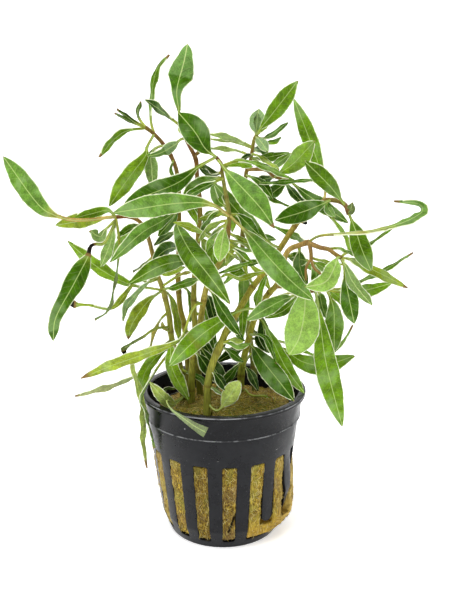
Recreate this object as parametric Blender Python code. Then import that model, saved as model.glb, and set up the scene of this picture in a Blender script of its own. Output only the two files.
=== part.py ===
"""Cuba white edge Ludwigia inclinata in its net pot.

Seven stems stand in a plug of rockwool, and the plug fills a slotted black pot. The origin is the
centre of the pot's underside, +Z is up and -Y is the side that the routes below are seen from.

Stems and leaves are placed by sight. Each point of a route is a column and a row of the reference
view, 470 by 596, and a depth in millimetres: 0 is the pot's axis and minus is towards the viewer.
"""

import math

import bmesh
import bpy
from mathutils import Vector

MM = 0.001

# The reference view: an eye in front of the pot that looks a little down on it.
VIEW_CENTRE = (235.0, 298.0)
VIEW_FOCUS = 737.0
VIEW_PITCH = math.radians(13.0)
EYE = Vector((3.84, -229.7, 130.6))

# The stems lean apart as they rise: depths are stretched from the first row up to the second.
FAN = 0.55
FAN_FROM = 390.0
FAN_TO = 300.0

# The net pot, in millimetres.
POT_HEIGHT = 47.5
RIM_RADIUS = 27.0
RIM_THICKNESS = 1.2
BAND_RADIUS = 25.9
BAND_FOOT_RADIUS = 25.2
BAND_FOOT_HEIGHT = 39.2
WALL_TOP_RADIUS = 24.8
CORNER_RADIUS = 20.7
CORNER_HEIGHT = 6.5
BASE_RADIUS = 18.2
BASE_THICKNESS = 1.2
WALL = 1.0
LEDGE_DROP = 0.6
POT_SEGMENTS = 36
SLOT_COUNT = 16
SLOT_TURN = math.radians(5.5)
SLOT_BOTTOM = 2.4
SLOT_TOP = 30.0
SLOT_BOTTOM_WIDTH = 3.9
SLOT_TOP_WIDTH = 4.7
BROKEN_BARS = (1, 2)
BREAK_TOP = 8.0
BREAK_HALF = 3.0
CUT_REACH = 3.0
DRAIN_COUNT = 8
DRAIN_WIDTH = 2.4
DRAIN_REACH = (5.0, 13.0)
DRAIN_CLEAR = 0.2

# The rockwool plug, in millimetres.
GAP = 0.35
PLUG_BOTTOM = BASE_THICKNESS + GAP
PLUG_TOP = 42.4
PLUG_SHOULDER = 39.6
PLUG_TOP_SHRINK = 2.6
LOW_SHRINK_SHARE = 0.6
SHRINK_ALL_ROUND = 0.3
SHRINK_DIRECTION = math.radians(225)
SHOULDER_STEPS = (-0.33, -0.1, 0.1, 0.33)
RIB_MIDDLE = 17.0
RIB_RECESS = 0.1
RIB_FACE_SHARE = 0.999
LEVEL_STEP = 0.05
TOP_EDGE_SHARE = 0.93
TOP_EDGE_DROP = 1.2
TOP_MIDDLE_SHARE = 0.5
SOCKET_BOTTOM = 34.0
SOCKET_TOP = 50.0
SOCKET_CLEAR = 0.2
BULGES = [
    # direction from the viewer's side in degrees, height, reach out, spread in degrees, spread up
    (76.0, 10.0, 3.2, 42.0, 9.0),
    (-80.0, 20.0, 0.4, 30.0, 10.0),
]
LUMPS = [
    # x, y, rise and spread of the lumps on the plug's top
    (13.0, 3.0, 1.4, 7.0),
    (-16.0, -6.0, 1.2, 6.0),
    (4.0, -17.0, 1.0, 6.0),
    (-4.0, 14.0, 0.8, 7.0),
]

# Stems: radius at the foot, radius at the tip and the route.
STEM_SIDES = 6
FOOT_HEIGHT = 35.0
STEM_ROUTES = {
    "left": (1.3, 0.75, [
        (184, 398, 1.8), (182, 375, 2), (172, 340, 2), (169, 315, 1), (163, 290, 0), (158, 276, -1),
        (153, 256, -2), (148, 237, -3), (141, 223, -4), (130, 217, -5), (116, 217, -6)]),
    "back_left": (1.2, 0.6, [
        (190, 392, 7.5), (185, 330, 8), (180, 307, 8), (178, 272, 7), (179, 245, 6), (179, 215, 6),
        (179, 195, 6), (177, 173, 5), (172, 158, 5), (164, 145, 4), (154, 134, 3), (145, 127, 2)]),
    "middle": (1.2, 0.6, [
        (200, 393, 6.5), (196, 340, 4), (194, 309, 3), (194, 285, 2), (196, 260, 1), (199, 228, 0),
        (200, 207, -1), (197, 175, -2), (196, 160, -2), (190, 147, -3), (186, 139, -3),
        (183, 130, -4), (179, 124, -4)]),
    "front": (1.35, 0.8, [
        (191, 401, -1), (193, 358, -3), (199, 331, -5), (203, 304, -7), (207, 285, -9),
        (213, 272, -10), (221, 260, -11), (227, 240, -12), (229, 215, -13), (225, 190, -12),
        (222, 172, -11), (222, 165, -11), (216, 157, -11)]),
    "right": (1.3, 0.75, [
        (207, 412, -10.6), (208, 385, -10), (212, 365, -9), (220, 346, -8), (228, 328, -6.5),
        (240, 308, -4.5), (252, 288, -3), (262, 275, -2), (281, 247, -1), (290, 233, 0),
        (299, 221, 1), (312, 210, 1), (324, 201, 1), (331, 200, 0), (340, 201.5, -1),
        (346, 206, -2), (349, 214, -3)]),
    "low_right": (1.3, 0.8, [
        (241, 392, 7.5), (241, 375, 6), (244, 358, 5), (248, 342, 3), (254, 320, 1), (262, 303, -1),
        (270, 292, -3), (276, 286, -4), (281, 275, -5), (285, 257, -6), (290, 249, -6),
        (300, 245, -7), (309, 242, -8)]),
    "back": (1.2, 0.6, [
        (255, 390, 9.5), (253, 360, 11), (247, 320, 13), (243, 270, 14), (243, 220, 15),
        (246, 174, 15), (249, 168, 15), (252, 152, 14), (254, 140, 14), (257, 135, 14)]),
}

# Side shoots: the stem that each grows from, radius where it starts and ends, and the route.
SHOOTS = [
    ("low_right", 0.75, 0.6, [
        (275, 286, -4), (288, 287, -6), (298, 291, -8), (312, 291, -8), (326, 289, -8)]),
    ("low_right", 0.8, 0.6, [
        (307, 242, -8), (320, 247.5, -10), (328, 249, -11), (335, 254, -12), (341, 258, -12)]),
    ("low_right", 0.7, 0.5, [(310, 241, -8), (311, 253, -9), (311, 262, -10)]),
    ("low_right", 0.45, 0.35, [(311, 259, -9.6), (306, 268, -11), (306, 280, -11)]),
    ("low_right", 0.45, 0.35, [(311, 259, -9.6), (314, 268, -11), (322, 275, -12)]),
    ("low_right", 0.35, 0.3, [
        (241, 386, 7), (250, 393, 0.5), (262, 395.5, -3), (271, 396.5, -6), (273, 402, -8.5)]),
    ("back", 0.65, 0.5, [(246, 169, 15.3), (265, 170, 13), (275, 177, 12), (290, 181, 11)]),
    ("right", 0.6, 0.5, [(299, 221, 1), (303, 222, 0), (306, 223, -1)]),
    ("middle", 0.5, 0.5, [(196, 155, -2.3), (199, 152, -3)]),
]

# Leaves that are nodes of their own: node name, width in mm, roll in degrees, share of stalk, the
# side that is seen and the route from stalk to tip. A stalk starts just clear of its stem.
TOP = 1
UNDER = -1
LARGE_LEAVES = [
    ("leaf_left_1", 6.2, 15, 0.36, TOP, [
        (116, 217, -6), (104, 218, -8), (90, 219.5, -9), (70, 219.5, -10), (50, 213, -10),
        (40, 206, -9), (30, 194, -8), (20, 180, -6), (4, 157, -2)]),
    ("leaf_left_2", 5.0, 20, 0.15, TOP, [(116, 216, -6), (100, 218, -4), (80, 221, -2), (56, 225, 0)]),
    ("leaf_left_3", 4.0, -35, 0.4, UNDER, [
        (115, 220, -6), (106, 229, -9.5), (100, 237, -11), (90, 231, -13)]),
    ("leaf_left_4", 6.2, 10, 0.3, TOP, [
        (115, 222, -6), (109, 235, -7.2), (103, 244, -8.5), (95, 244, -10.5), (90, 247, -12),
        (88, 256, -13), (80, 272, -15), (73, 288, -16), (58, 318, -16), (53, 340, -14)]),
    ("leaf_left_5", 4.8, 30, 0.2, TOP, [
        (162, 290, 0), (150, 288, 1), (137, 286, 0), (118, 279, -1), (95, 265, -2), (68, 241, -3)]),
    ("leaf_left_6", 4.0, -30, 0.15, TOP, [(115, 221, -6), (113, 232, -4.5), (110, 245, -4), (101, 267, -3)]),
    ("leaf_left_7", 5.0, 30, 0.15, TOP, [(163, 290, 0), (150, 299, -3), (140, 311, -5), (131, 326, -6),
                                         (128, 339, -6)]),
    ("leaf_left_8", 4.6, 30, 0.15, TOP, [(172, 345, 2), (165, 350, -1), (155, 358, -3), (145, 372, -6),
                                         (138, 395, -9)]),
    ("leaf_left_9", 5.0, -25, 0.1, TOP, [(173, 343, 2), (171, 348, -3), (173, 370, -5.5), (189, 400, -6)]),
    ("leaf_left_10", 3.0, 45, 0.15, UNDER, [
        (170, 341, 2), (155, 351, -5), (140, 358, -9), (132, 364, -11), (137, 383, -13),
        (142, 402, -14), (143, 420, -13), (143, 440, -11), (145, 455, -10), (147, 468, -9)]),
    ("leaf_back_left_1", 4.0, 45, 0.15, TOP, [(145, 128, 2), (125, 131, -1), (110, 143, -4), (99, 157, -6)]),
    ("leaf_back_left_2", 4.4, -20, 0.2, UNDER, [
        (164, 145, 4), (156, 148, 2.5), (151, 155, 1.5), (152, 170, 0), (153, 190, -1)]),
    ("leaf_back_left_3", 5.7, 20, 0.2, TOP, [
        (154, 134, 3), (147, 147, 1), (145, 156, -1), (133, 172, -2), (122, 187, -3), (109, 206, -3)]),
    ("leaf_back_left_4", 5.0, 20, 0.15, TOP, [
        (179, 205, 6), (172, 214, 0), (160, 222, -4), (140, 234, -8), (110, 262, -10)]),
    ("leaf_back_left_5", 7.3, 8, 0.08, TOP, [
        (179, 222, 6), (178, 228, 0), (190, 251, -9), (210, 277, -15), (230, 304, -18)]),
    ("leaf_middle_1", 5.6, 15, 0.1, TOP, [(196, 260, 1), (187, 260, -3), (160, 266, -9), (128, 284, -10)]),
    ("leaf_middle_2", 5.2, 25, 0.25, UNDER, [
        (186, 139, -3), (181, 139.5, -4), (174, 145, -6), (160, 153, -7), (147, 156, -7)]),
    ("leaf_middle_3", 8.0, 10, 0.12, TOP, [
        (179, 124, -4), (179, 110, -5), (177, 90, -5), (184, 62, -3), (187.5, 45, 0)]),
    ("leaf_front_1", 6.6, 15, 0.2, TOP, [
        (229, 216, -13), (218, 207.5, -17), (205, 203, -18), (187, 202.5, -18.5), (165, 204.5, -18),
        (140, 208.5, -16), (114, 212.5, -13)]),
    ("leaf_front_2", 6.4, 10, 0.15, TOP, [(216, 157, -11), (198, 167, -12), (175, 184, -11), (125, 203, -6)]),
    ("leaf_front_3", 7.5, 8, 0.15, TOP, [
        (218, 160, -11), (228, 173, -14), (248, 194, -18), (262, 210, -20), (274, 228, -19)]),
    ("leaf_front_4", 5.6, 10, 0.2, TOP, [
        (280, 248, -1), (270, 243, -4), (255, 230, -7), (240, 214, -8.5), (228, 200, -9.5), (214, 183, -10)]),
    ("leaf_front_5", 4.2, 30, 0.15, TOP, [(230, 214, -12.7), (240, 217, -11.5), (259, 236, -10.5)]),
    ("leaf_front_6", 7.7, 10, 0.15, TOP, [
        (230, 216, -13), (250, 236, -16), (270, 259, -18), (290, 280, -18), (313, 300, -16)]),
    ("leaf_front_7", 4.6, 15, 0.3, UNDER, [(227, 220, -13), (223, 236, -17), (219, 262, -18)]),
    ("leaf_front_8", 4.8, 20, 0.15, TOP, [(226, 224, -12), (216, 232, -9), (213, 252, -6), (213, 275, -4)]),
    ("leaf_front_9", 4.2, -25, 0.2, TOP, [
        (227, 250, -12), (236, 257, -8), (243, 264, -4), (244, 290, -0.5), (243, 315, -0.5), (242, 342, 0)]),
    ("leaf_front_10", 4.3, 25, 0.1, TOP, [
        (207, 286, -9), (214, 296, -10.5), (222, 310, -11.5), (240, 336, -12)]),
    ("leaf_front_11", 7.6, 8, 0.12, TOP, [
        (216, 157, -11), (205, 148, -13), (195, 132, -14), (179, 113, -13)]),
    ("leaf_front_12", 4.3, 30, 0.25, TOP, [
        (203, 304, -7), (197, 304, -8.5), (190, 314, -9), (184, 333, -10), (176, 342, -11),
        (150, 352, -12), (130, 359, -12), (110, 366, -11), (81, 378, -9)]),
    ("leaf_right_1", 5.6, 12, 0.2, TOP, [(324, 201, 1), (325, 188, 4), (318, 163, 9), (308, 135, 13),
                                        (294, 99, 16)]),
    ("leaf_right_2", 5.7, 15, 0.1, TOP, [(345, 205, -2), (330, 186, -4), (305, 161, -5)]),
    ("leaf_right_3", 6.5, 10, 0.08, TOP, [(331, 200, 0), (305, 211, -4), (275, 220, -6)]),
    ("leaf_right_4", 6.2, 10, 0.1, TOP, [(349, 214, -3), (356, 232, -6), (362, 250, -7), (371, 271, -7)]),
    ("leaf_right_5", 5.9, 15, 0.36, UNDER, [
        (208, 403, -10.6), (213, 409, -12.3), (219, 410, -13.5), (226, 401, -14), (240, 381, -14)]),
    ("leaf_low_right_1", 4.6, 50, 0.45, TOP, [
        (309, 242, -8), (320, 236, -10), (345, 234, -12), (370, 232, -12), (395, 226, -10),
        (412, 219, -8), (423, 211, -5), (418, 203, -3), (394, 201, -2)]),
    ("leaf_low_right_2", 4.6, 30, 0.2, TOP, [
        (326, 289.5, -8), (340, 292, -8), (362, 291, -6), (391, 284, -3)]),
    ("leaf_low_right_3", 4.4, -40, 0.15, UNDER, [
        (342, 259, -12.5), (346, 266, -15.5), (354, 283, -17), (372, 305, -16)]),
    ("leaf_low_right_4", 5.6, 10, 0.2, TOP, [
        (341, 259, -12), (344, 266, -12.5), (346, 283, -13), (350, 303, -13), (354, 323, -12)]),
    ("leaf_low_right_5", 5.6, 15, 0.12, UNDER, [
        (340, 257, -12), (337, 259, -14), (334, 268, -17), (325, 282, -20), (305, 287, -21)]),
    ("leaf_low_right_6", 6.6, 10, 0.3, TOP, [
        (257, 309, -1.5), (246, 309, -5), (234, 313, -8.2), (224, 319, -9), (205, 332, -11),
        (190, 345, -13), (169, 366, -16)]),
    ("leaf_low_right_7", 5.0, 20, 0.15, TOP, [
        (298, 291, -8), (290, 297, -10), (280, 301, -12), (246, 320, -14)]),
    ("leaf_low_right_8", 10.2, 10, 0.12, UNDER, [
        (304, 291, -8), (305, 298, -12), (304, 315, -15), (299, 338, -17), (289, 355, -17)]),
    ("leaf_low_right_9", 7.4, 10, 0.1, TOP, [
        (315, 291, -8), (317, 300, -10.5), (321, 330, -12), (327, 368, -12), (342, 426, -9)]),
    ("leaf_low_right_10", 6.5, 15, 0.1, TOP, [
        (326, 289, -8), (331, 300, -8), (334, 315, -7.5), (334, 352, -6)]),
    ("leaf_low_right_11", 6.5, 15, 0.3, TOP, [
        (249, 338, 2.8), (265, 341, 6), (284, 350, 7), (303, 362, 6), (325, 365, 4), (355, 356, 2)]),
    ("leaf_low_right_12", 7.0, 10, 0.12, TOP, [
        (248, 343, 3), (255, 350, -2), (262, 360, -6), (281, 384, -12), (294, 401, -17)]),
    ("leaf_low_right_13", 5.2, 15, 0.1, TOP, [(256, 318, 1), (262, 321, 0), (272, 340, -2), (286, 368, -7),
                                              (304, 393, -10)]),
    ("leaf_back_1", 5.9, 15, 0.1, TOP, [
        (257, 135, 14), (262, 127, 12), (270, 117, 10), (284, 99, 7), (298, 81, 4)]),
    ("leaf_back_2", 6.6, 15, 0.12, TOP, [(275, 177, 12), (280, 173, 10.5), (293, 164, 8), (315, 141, 4)]),
    ("leaf_back_3", 4.8, 20, 0.1, TOP, [(290, 181, 11), (303, 192, 8), (322, 205, 6), (348, 223, 4)]),
]

# The leaf that hangs over the pot's rim was cut off square, with this share of it left.
CUT_LEAF = [
    (184, 397, 1.8), (175, 401, -8), (167, 400.5, -18), (169, 407, -23.7), (175, 414, -26),
    (185, 421, -27), (206, 432.5, -27.8)]
CUT_LEAF_KEPT = 0.7

# Small leaves, joined to the stem that they grow from: stem, width, roll, share of stalk, side, route.
SMALL_LEAVES = [
    ("left", 2.9, 5, 0.58, UNDER, CUT_LEAF),
    ("left", 4.0, 15, 0.35, UNDER, [
        (184, 396, 1.8), (177.5, 402, -6), (171, 404, -12.5), (161, 395, -16.5), (150, 382.5, -17.5)]),
    ("left", 2.0, 40, 0.4, TOP, [(183, 385, 2), (174, 388, -1), (166, 389, -3), (159, 395, -4)]),
    ("left", 3.8, 35, 0.1, TOP, [(141, 223, -4), (125, 240, -1), (107, 258, 1)]),
    ("left", 3.0, 78, 0.3, UNDER, [
        (116, 217, -6), (119, 235, -6.5), (119.5, 250, -7), (117, 272, -9.5), (113, 293, -10),
        (108, 311, -10), (95, 320, -9)]),
    ("left", 3.0, 40, 0.2, TOP, [
        (158, 279, -1), (148, 282, -3), (137, 279, -5), (128, 290, -6), (112, 308, -7), (90, 305, -7),
        (73, 304, -7), (66, 300, -7)]),
    ("left", 3.0, 40, 0.2, UNDER, [
        (158, 277, -1), (150, 281, -4), (138, 292, -5), (127, 305, -5), (123, 321, -4)]),
    ("left", 2.4, 60, 0.2, TOP, [(169, 311, 1), (158, 323, -1), (149, 350, -2)]),
    ("left", 1.2, 30, 0.5, UNDER, [
        (170, 327, 1.5), (155, 329, -3), (143, 337, -5), (130, 346, -6), (124, 352, -6)]),
    ("left", 3.0, 50, 0.4, TOP, [
        (172, 343, 2), (165, 348, 3), (148, 360, 4), (137, 374, 4), (113, 386, 2), (75, 396, -2)]),
    ("left", 1.8, 60, 0.3, UNDER, [
        (174, 347, 2), (155, 372, -9), (141, 398, -17), (146, 413, -16.5), (150, 430, -14.5),
        (155, 448, -13)]),
    ("left", 3.0, 35, 0.15, TOP, [
        (163, 290, 0), (168, 294, 3), (173, 303, 4), (177, 320, 4.5), (180, 345, 4.5)]),
    ("left", 3.4, 35, 0.2, TOP, [(163, 289, 0), (172, 288, -3), (180, 285, -4), (200, 279, -5)]),
    ("left", 2.6, 70, 0.2, TOP, [(153, 257, -2), (145, 264, -1), (133, 272, 0)]),
    ("left", 1.6, 20, 0.3, TOP, [(170, 331, 2), (164, 328, 0), (162, 322, -1)]),
    ("left", 1.2, 20, 0.6, TOP, [(162, 286, 0), (180, 275, -2), (192, 272, -2)]),
    ("back_left", 1.7, 45, 0.3, TOP, [(146, 128, 2), (130, 118, 0), (117, 109, -2)]),
    ("back_left", 1.8, 45, 0.3, TOP, [(146, 128, 2), (130, 121, 4), (115, 113, 5)]),
    ("back_left", 1.9, 45, 0.3, TOP, [(146, 128, 2), (138, 115, 4), (141, 102, 6)]),
    ("back_left", 3.4, 55, 0.2, TOP, [
        (155, 135, 3), (151, 120, 5), (152, 95, 8), (157, 70, 9), (169.5, 55, 9)]),
    ("back_left", 2.4, 55, 0.2, TOP, [(173, 160, 5), (171, 168, 3), (172, 178, 2)]),
    ("back_left", 3.9, 20, 0.1, TOP, [(180, 208, 6), (172, 220, 4), (158, 236, 3)]),
    ("back_left", 3.0, 35, 0.1, TOP, [(179, 230, 6), (170, 234, 7), (154, 245, 8)]),
    ("back_left", 5.0, 25, 0.1, TOP, [(179, 248, 6), (170, 248, 0), (160, 254, -4), (151, 267, -5.5)]),
    ("back_left", 1.8, 40, 0.2, TOP, [(180, 205, 6), (193, 207, 4.5), (204, 218, 4)]),
    ("middle", 3.4, 45, 0.15, TOP, [(180, 125, -4), (162, 111, -2), (146, 99.5, 1)]),
    ("middle", 2.0, 40, 0.2, TOP, [(179, 125, -4), (181, 129, -6), (185, 136, -7)]),
    ("front", 3.4, 40, 0.2, TOP, [(224, 178, -11.5), (214, 182, -13), (200, 189, -13), (185, 197, -11)]),
    ("front", 4.4, 25, 0.1, TOP, [(224, 178, -11.5), (215, 178, -10), (198, 185, -8), (183, 196, -6)]),
    ("front", 2.6, 55, 0.1, TOP, [(222, 172, -11), (212, 175, -9), (201, 169, -7)]),
    ("front", 2.6, 35, 0.3, TOP, [(227, 240, -12), (214, 239, -10), (195, 229, -8), (174, 222, -5)]),
    ("front", 2.4, 50, 0.2, TOP, [(229, 215, -13), (218, 211, -11), (208, 221, -9), (200, 233, -7)]),
    ("front", 1.8, 50, 0.2, TOP, [(227, 240, -12), (243, 244, -10), (256, 254, -8)]),
    ("front", 4.6, 25, 0.1, TOP, [(194, 350, -3), (202, 360, -4.5), (214, 378, -6)]),
    ("front", 2.4, 45, 0.15, TOP, [(222, 166, -11), (240, 161, -8), (262, 166, -4), (293, 180, 2)]),
    ("front", 1.8, 50, 0.2, TOP, [(227.5, 245, -11.8), (242, 254, -10.5), (252, 263, -10)]),
    ("front", 1.6, 50, 0.2, TOP, [(228, 242, -12), (240, 249, -11), (262, 252, -9)]),
    ("right", 2.6, 45, 0.15, TOP, [(270, 263, -1.6), (262, 261, -5), (240, 266, -9.5), (219, 273, -10)]),
    ("right", 3.0, 40, 0.15, TOP, [(254, 286, -3), (248, 276, -5), (238, 272, -6), (223, 284, -6)]),
    ("right", 3.0, 35, 0.15, TOP, [(325, 202, 1), (329, 210, -1), (335, 218, -2)]),
    ("right", 2.6, 45, 0.2, TOP, [
        (324, 203, 1), (328, 214, 1), (343, 232, 1), (350, 246, 1.5), (362, 266, 2)]),
    ("right", 2.6, 30, 0.1, UNDER, [(348, 213, -3), (351, 210, -5), (352, 203, -6)]),
    ("right", 3.6, 35, 0.1, TOP, [(211, 370, -9.3), (220, 380, -11.5), (228, 392, -12.5)]),
    ("right", 3.0, 35, 0.1, TOP, [(220, 346, -8), (230, 352, -7), (243, 362, -5)]),
    ("right", 2.0, 40, 0.4, TOP, [(221, 344, -8), (232, 340, -9), (243, 342, -8)]),
    ("right", 2.0, 40, 0.2, TOP, [(228, 328, -6.5), (236, 333, -8), (244, 341, -7)]),
    ("right", 1.6, 40, 0.2, UNDER, [(208, 386, -10), (216, 390, -12), (224, 396, -13)]),
    ("low_right", 2.2, 45, 0.15, TOP, [
        (280, 276, -5), (275, 270, -6), (255, 274, -7), (240, 279, -8), (228, 274, -8), (221, 277, -7)]),
    ("low_right", 3.2, 40, 0.1, TOP, [(258, 311, 0), (257, 301, -4.5), (261, 288, -6), (267, 275, -5)]),
    ("low_right", 1.8, 45, 0.2, TOP, [
        (341, 257, -12), (345, 254, -8.5), (352, 251, -3), (371, 243, -2), (396, 226, -4)]),
    ("low_right", 3.2, 40, 0.1, TOP, [(308, 242, -8), (303, 240, -4), (290, 234, 3.5), (274, 226, 5)]),
    ("low_right", 3.8, 30, 0.15, TOP, [
        (341, 258, -12), (348, 259, -8), (360, 264, -4), (385, 276, -2), (407, 288, 0)]),
    ("low_right", 1.8, 45, 0.15, TOP, [(328, 249, -11), (340, 249, -9), (356, 256, -4)]),
    ("low_right", 3.6, 30, 0.15, TOP, [(311, 261, -10), (320, 266, -9), (331, 271, -8)]),
    ("low_right", 4.4, 20, 0.15, TOP, [(311, 261, -10), (300, 259, -5), (288, 256, -2)]),
    ("low_right", 2.0, 40, 0.2, TOP, [(311, 258, -9.5), (325, 262, -7), (342, 265, -5)]),
    ("low_right", 2.2, 45, 0.2, TOP, [
        (325, 289, -8), (340, 289, -4), (357, 283, 0), (385, 270, 5), (413, 253, 9)]),
    ("low_right", 2.0, 50, 0.3, TOP, [
        (251, 333, 2), (265, 338, 9), (285, 343, 11), (320, 357, 10),
        (333, 353, 9), (346, 338, 8), (353, 325, 8)]),
    ("low_right", 4.2, 25, 0.1, TOP, [(258, 312, 0), (262, 322, 1.5), (266, 350, 2)]),
    ("low_right", 2.4, 40, 0.35, TOP, [
        (250, 334, 2.4), (255, 335, -3), (260, 335, -5), (268, 341, -7), (276, 364, -10)]),
    ("low_right", 1.4, 40, 0.2, TOP, [(298, 290, -8), (285, 294, -9), (272, 299, -9)]),
    ("back", 4.6, 15, 0.1, UNDER, [(256, 136, 14), (257, 125, 17), (259, 109, 19)]),
    ("back", 2.4, 50, 0.1, TOP, [(257, 136, 14), (255, 124, 20), (257, 113, 22)]),
    ("back", 3.0, 45, 0.2, TOP, [(256, 137, 14), (266, 138, 16), (288, 123, 18)]),
    ("back", 2.4, 50, 0.2, TOP, [(254, 141, 14), (270, 143, 16), (281, 138, 18)]),
    ("back", 3.8, 25, 0.15, UNDER, [(256, 137, 14), (260, 141, 11), (268, 152, 9)]),
    ("back", 2.6, 45, 0.2, TOP, [(256, 136, 14), (263, 129, 16), (269, 124, 16)]),
    ("back", 3.0, 45, 0.15, TOP, [(253, 147, 14), (235, 139, 15), (210, 134, 17)]),
    ("back", 2.4, 50, 0.2, TOP, [(251, 156, 14), (235, 150, 17), (209, 148, 19)]),
    ("back", 3.4, 35, 0.1, TOP, [(252, 151, 14), (260, 150, 18), (267, 153, 20)]),
    ("back", 2.6, 45, 0.15, TOP, [(252, 154, 14), (262, 158, 11), (279, 170, 6)]),
    ("back", 3.6, 30, 0.1, TOP, [(253, 158, 15), (264, 158, 18), (289, 153, 21)]),
    ("back", 2.2, 45, 0.15, TOP, [(244, 186, 15), (257, 184, 12), (285, 182, 7), (319, 180, 4)]),
    ("back", 3.6, 30, 0.1, TOP, [(275, 177, 12), (268, 178, 14), (256, 183, 16)]),
    ("back", 4.6, 20, 0.1, TOP, [(289, 181, 11), (280, 187, 11.5), (266, 198, 13)]),
    ("back", 1.8, 45, 0.2, TOP, [(243, 200, 15), (255, 197, 13), (268, 198, 11), (290, 207, 9)]),
    ("back", 1.6, 45, 0.2, TOP, [(253, 148, 14), (235, 142, 19), (211, 139, 22)]),
    ("back", 2.6, 40, 0.1, TOP, [(251, 155, 14), (246, 157, 11), (239, 161, 10)]),
]

# The form of a leaf.
LARGE_LEAST_STATIONS = 5
SMALL_LEAST_STATIONS = 4
STATION_SPACING = 12.0
FINE_STATIONS = 41
STALK_RADIUS = 0.42
STALK_KEEL = 0.75
BLADE_KEEL = 0.45
FOLD = 0.16
LEAF_START = 1.75
WIDEST_POWER = 1.2
BLUNTNESS = 0.72
TIP_RADIUS = 0.12


def seen_at(column, row, depth):
    """The point that the reference view shows at this column and row, at its fanned-out depth."""
    depth *= 1.0 + FAN * min(1.0, max(0.0, (FAN_FROM - row) / (FAN_FROM - FAN_TO)))
    across = (column - VIEW_CENTRE[0]) / VIEW_FOCUS
    above = (VIEW_CENTRE[1] - row) / VIEW_FOCUS
    forward = math.cos(VIEW_PITCH) + above * math.sin(VIEW_PITCH)
    rise = above * math.cos(VIEW_PITCH) - math.sin(VIEW_PITCH)
    reach = (depth - EYE.y) / forward
    return Vector((EYE.x + reach * across, depth, EYE.z + reach * rise))


def smooth_route(points, count):
    """Count points, evenly spaced in length, on a smooth curve through the given points."""
    ends = [points[0] * 2 - points[1]] + points + [points[-1] * 2 - points[-2]]
    fine = []
    steps = 12
    for i in range(1, len(ends) - 2):
        before, start, end, after = ends[i - 1], ends[i], ends[i + 1], ends[i + 2]
        for step in range(steps):
            t = step / steps
            bend = (before * 2 - start * 5 + end * 4 - after) * t * t
            turn = (start * 3 - before - end * 3 + after) * t * t * t
            fine.append((start * 2 + (end - before) * t + bend + turn) / 2)
    fine.append(points[-1])
    lengths = [0.0]
    for first, second in zip(fine, fine[1:]):
        lengths.append(lengths[-1] + (second - first).length)
    found = []
    place = 0
    for k in range(count):
        want = lengths[-1] * k / (count - 1)
        while place < len(fine) - 2 and lengths[place + 1] < want:
            place += 1
        share = (want - lengths[place]) / (lengths[place + 1] - lengths[place])
        found.append(fine[place].lerp(fine[place + 1], share))
    return found


def tangents(points):
    """The direction of the route at each of its points."""
    last = len(points) - 1
    return [(points[min(i + 1, last)] - points[max(i - 1, 0)]).normalized() for i in range(last + 1)]


def nearest_on(lines, place):
    """The point nearest to a place on any of these lines of points."""
    best = lines[0][0]
    for line in lines:
        for first, second in zip(line, line[1:]):
            along = second - first
            share = min(1.0, max(0.0, (place - first).dot(along) / along.length_squared))
            point = first + along * share
            if (point - place).length < (best - place).length:
                best = point
    return best


def material(name, colour, roughness):
    """A plain finish for one sub-part."""
    made = bpy.data.materials.new(name)
    made.use_nodes = True
    shader = made.node_tree.nodes["Principled BSDF"]
    shader.inputs["Base Color"].default_value = (*colour, 1.0)
    shader.inputs["Roughness"].default_value = roughness
    shader.inputs["Metallic"].default_value = 0.0
    return made


def make_object(name, shape, finish):
    """An object in the scene from a bmesh in millimetres."""
    bmesh.ops.recalc_face_normals(shape, faces=shape.faces)
    mesh = bpy.data.meshes.new(name)
    shape.to_mesh(mesh)
    shape.free()
    for vertex in mesh.vertices:
        vertex.co *= MM
    mesh.materials.append(finish)
    mesh.shade_smooth()
    mesh.set_sharp_from_angle(angle=math.radians(40))
    made = bpy.data.objects.new(name, mesh)
    bpy.context.scene.collection.objects.link(made)
    return made


def as_helper(made):
    """Keeps a shape that only cuts or joins out of the finished part."""
    made.hide_render = True
    made.display_type = "WIRE"
    return made


def bridge_rings(shape, rings):
    """Faces between rings of the same count, with both ends closed."""
    count = len(rings[0])
    rows = [[shape.verts.new(point) for point in ring] for ring in rings]
    for lower, upper in zip(rows, rows[1:]):
        for i in range(count):
            j = (i + 1) % count
            shape.faces.new((lower[i], lower[j], upper[j], upper[i]))
    shape.faces.new(rows[0][::-1])
    shape.faces.new(rows[-1])


def stem_shape(points, first_radius, last_radius):
    """A round stem that gets thinner along its route."""
    ways = tangents(points)
    side = ways[0].cross(Vector((0.0, 1.0, 0.0))).normalized()
    rings = []
    for i, (point, way) in enumerate(zip(points, ways)):
        side = (side - way * side.dot(way)).normalized()
        other = way.cross(side)
        share = i / (len(points) - 1)
        radius = first_radius + (last_radius - first_radius) * share
        ring = []
        for k in range(STEM_SIDES):
            turn = math.tau * k / STEM_SIDES
            ring.append(point + (side * math.cos(turn) + other * math.sin(turn)) * radius)
        rings.append(ring)
    shape = bmesh.new()
    bridge_rings(shape, rings)
    return shape


def half_width(share, stalk, width):
    """Half the width at a share of the leaf's length: a thin stalk, then a lance-shaped blade."""
    if share <= stalk:
        return STALK_RADIUS
    along = (share - stalk) / (1 - stalk)
    blade = max(0.0, math.sin(math.pi * along ** WIDEST_POWER)) ** BLUNTNESS * width / 2
    taper = STALK_RADIUS * (1 - along) + TIP_RADIUS
    return max(blade, taper)


def station_count(route, least):
    """How many cross sections a leaf of this length is given."""
    length = sum((second - first).length for first, second in zip(route, route[1:]))
    return least + int(length / STATION_SPACING)


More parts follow.
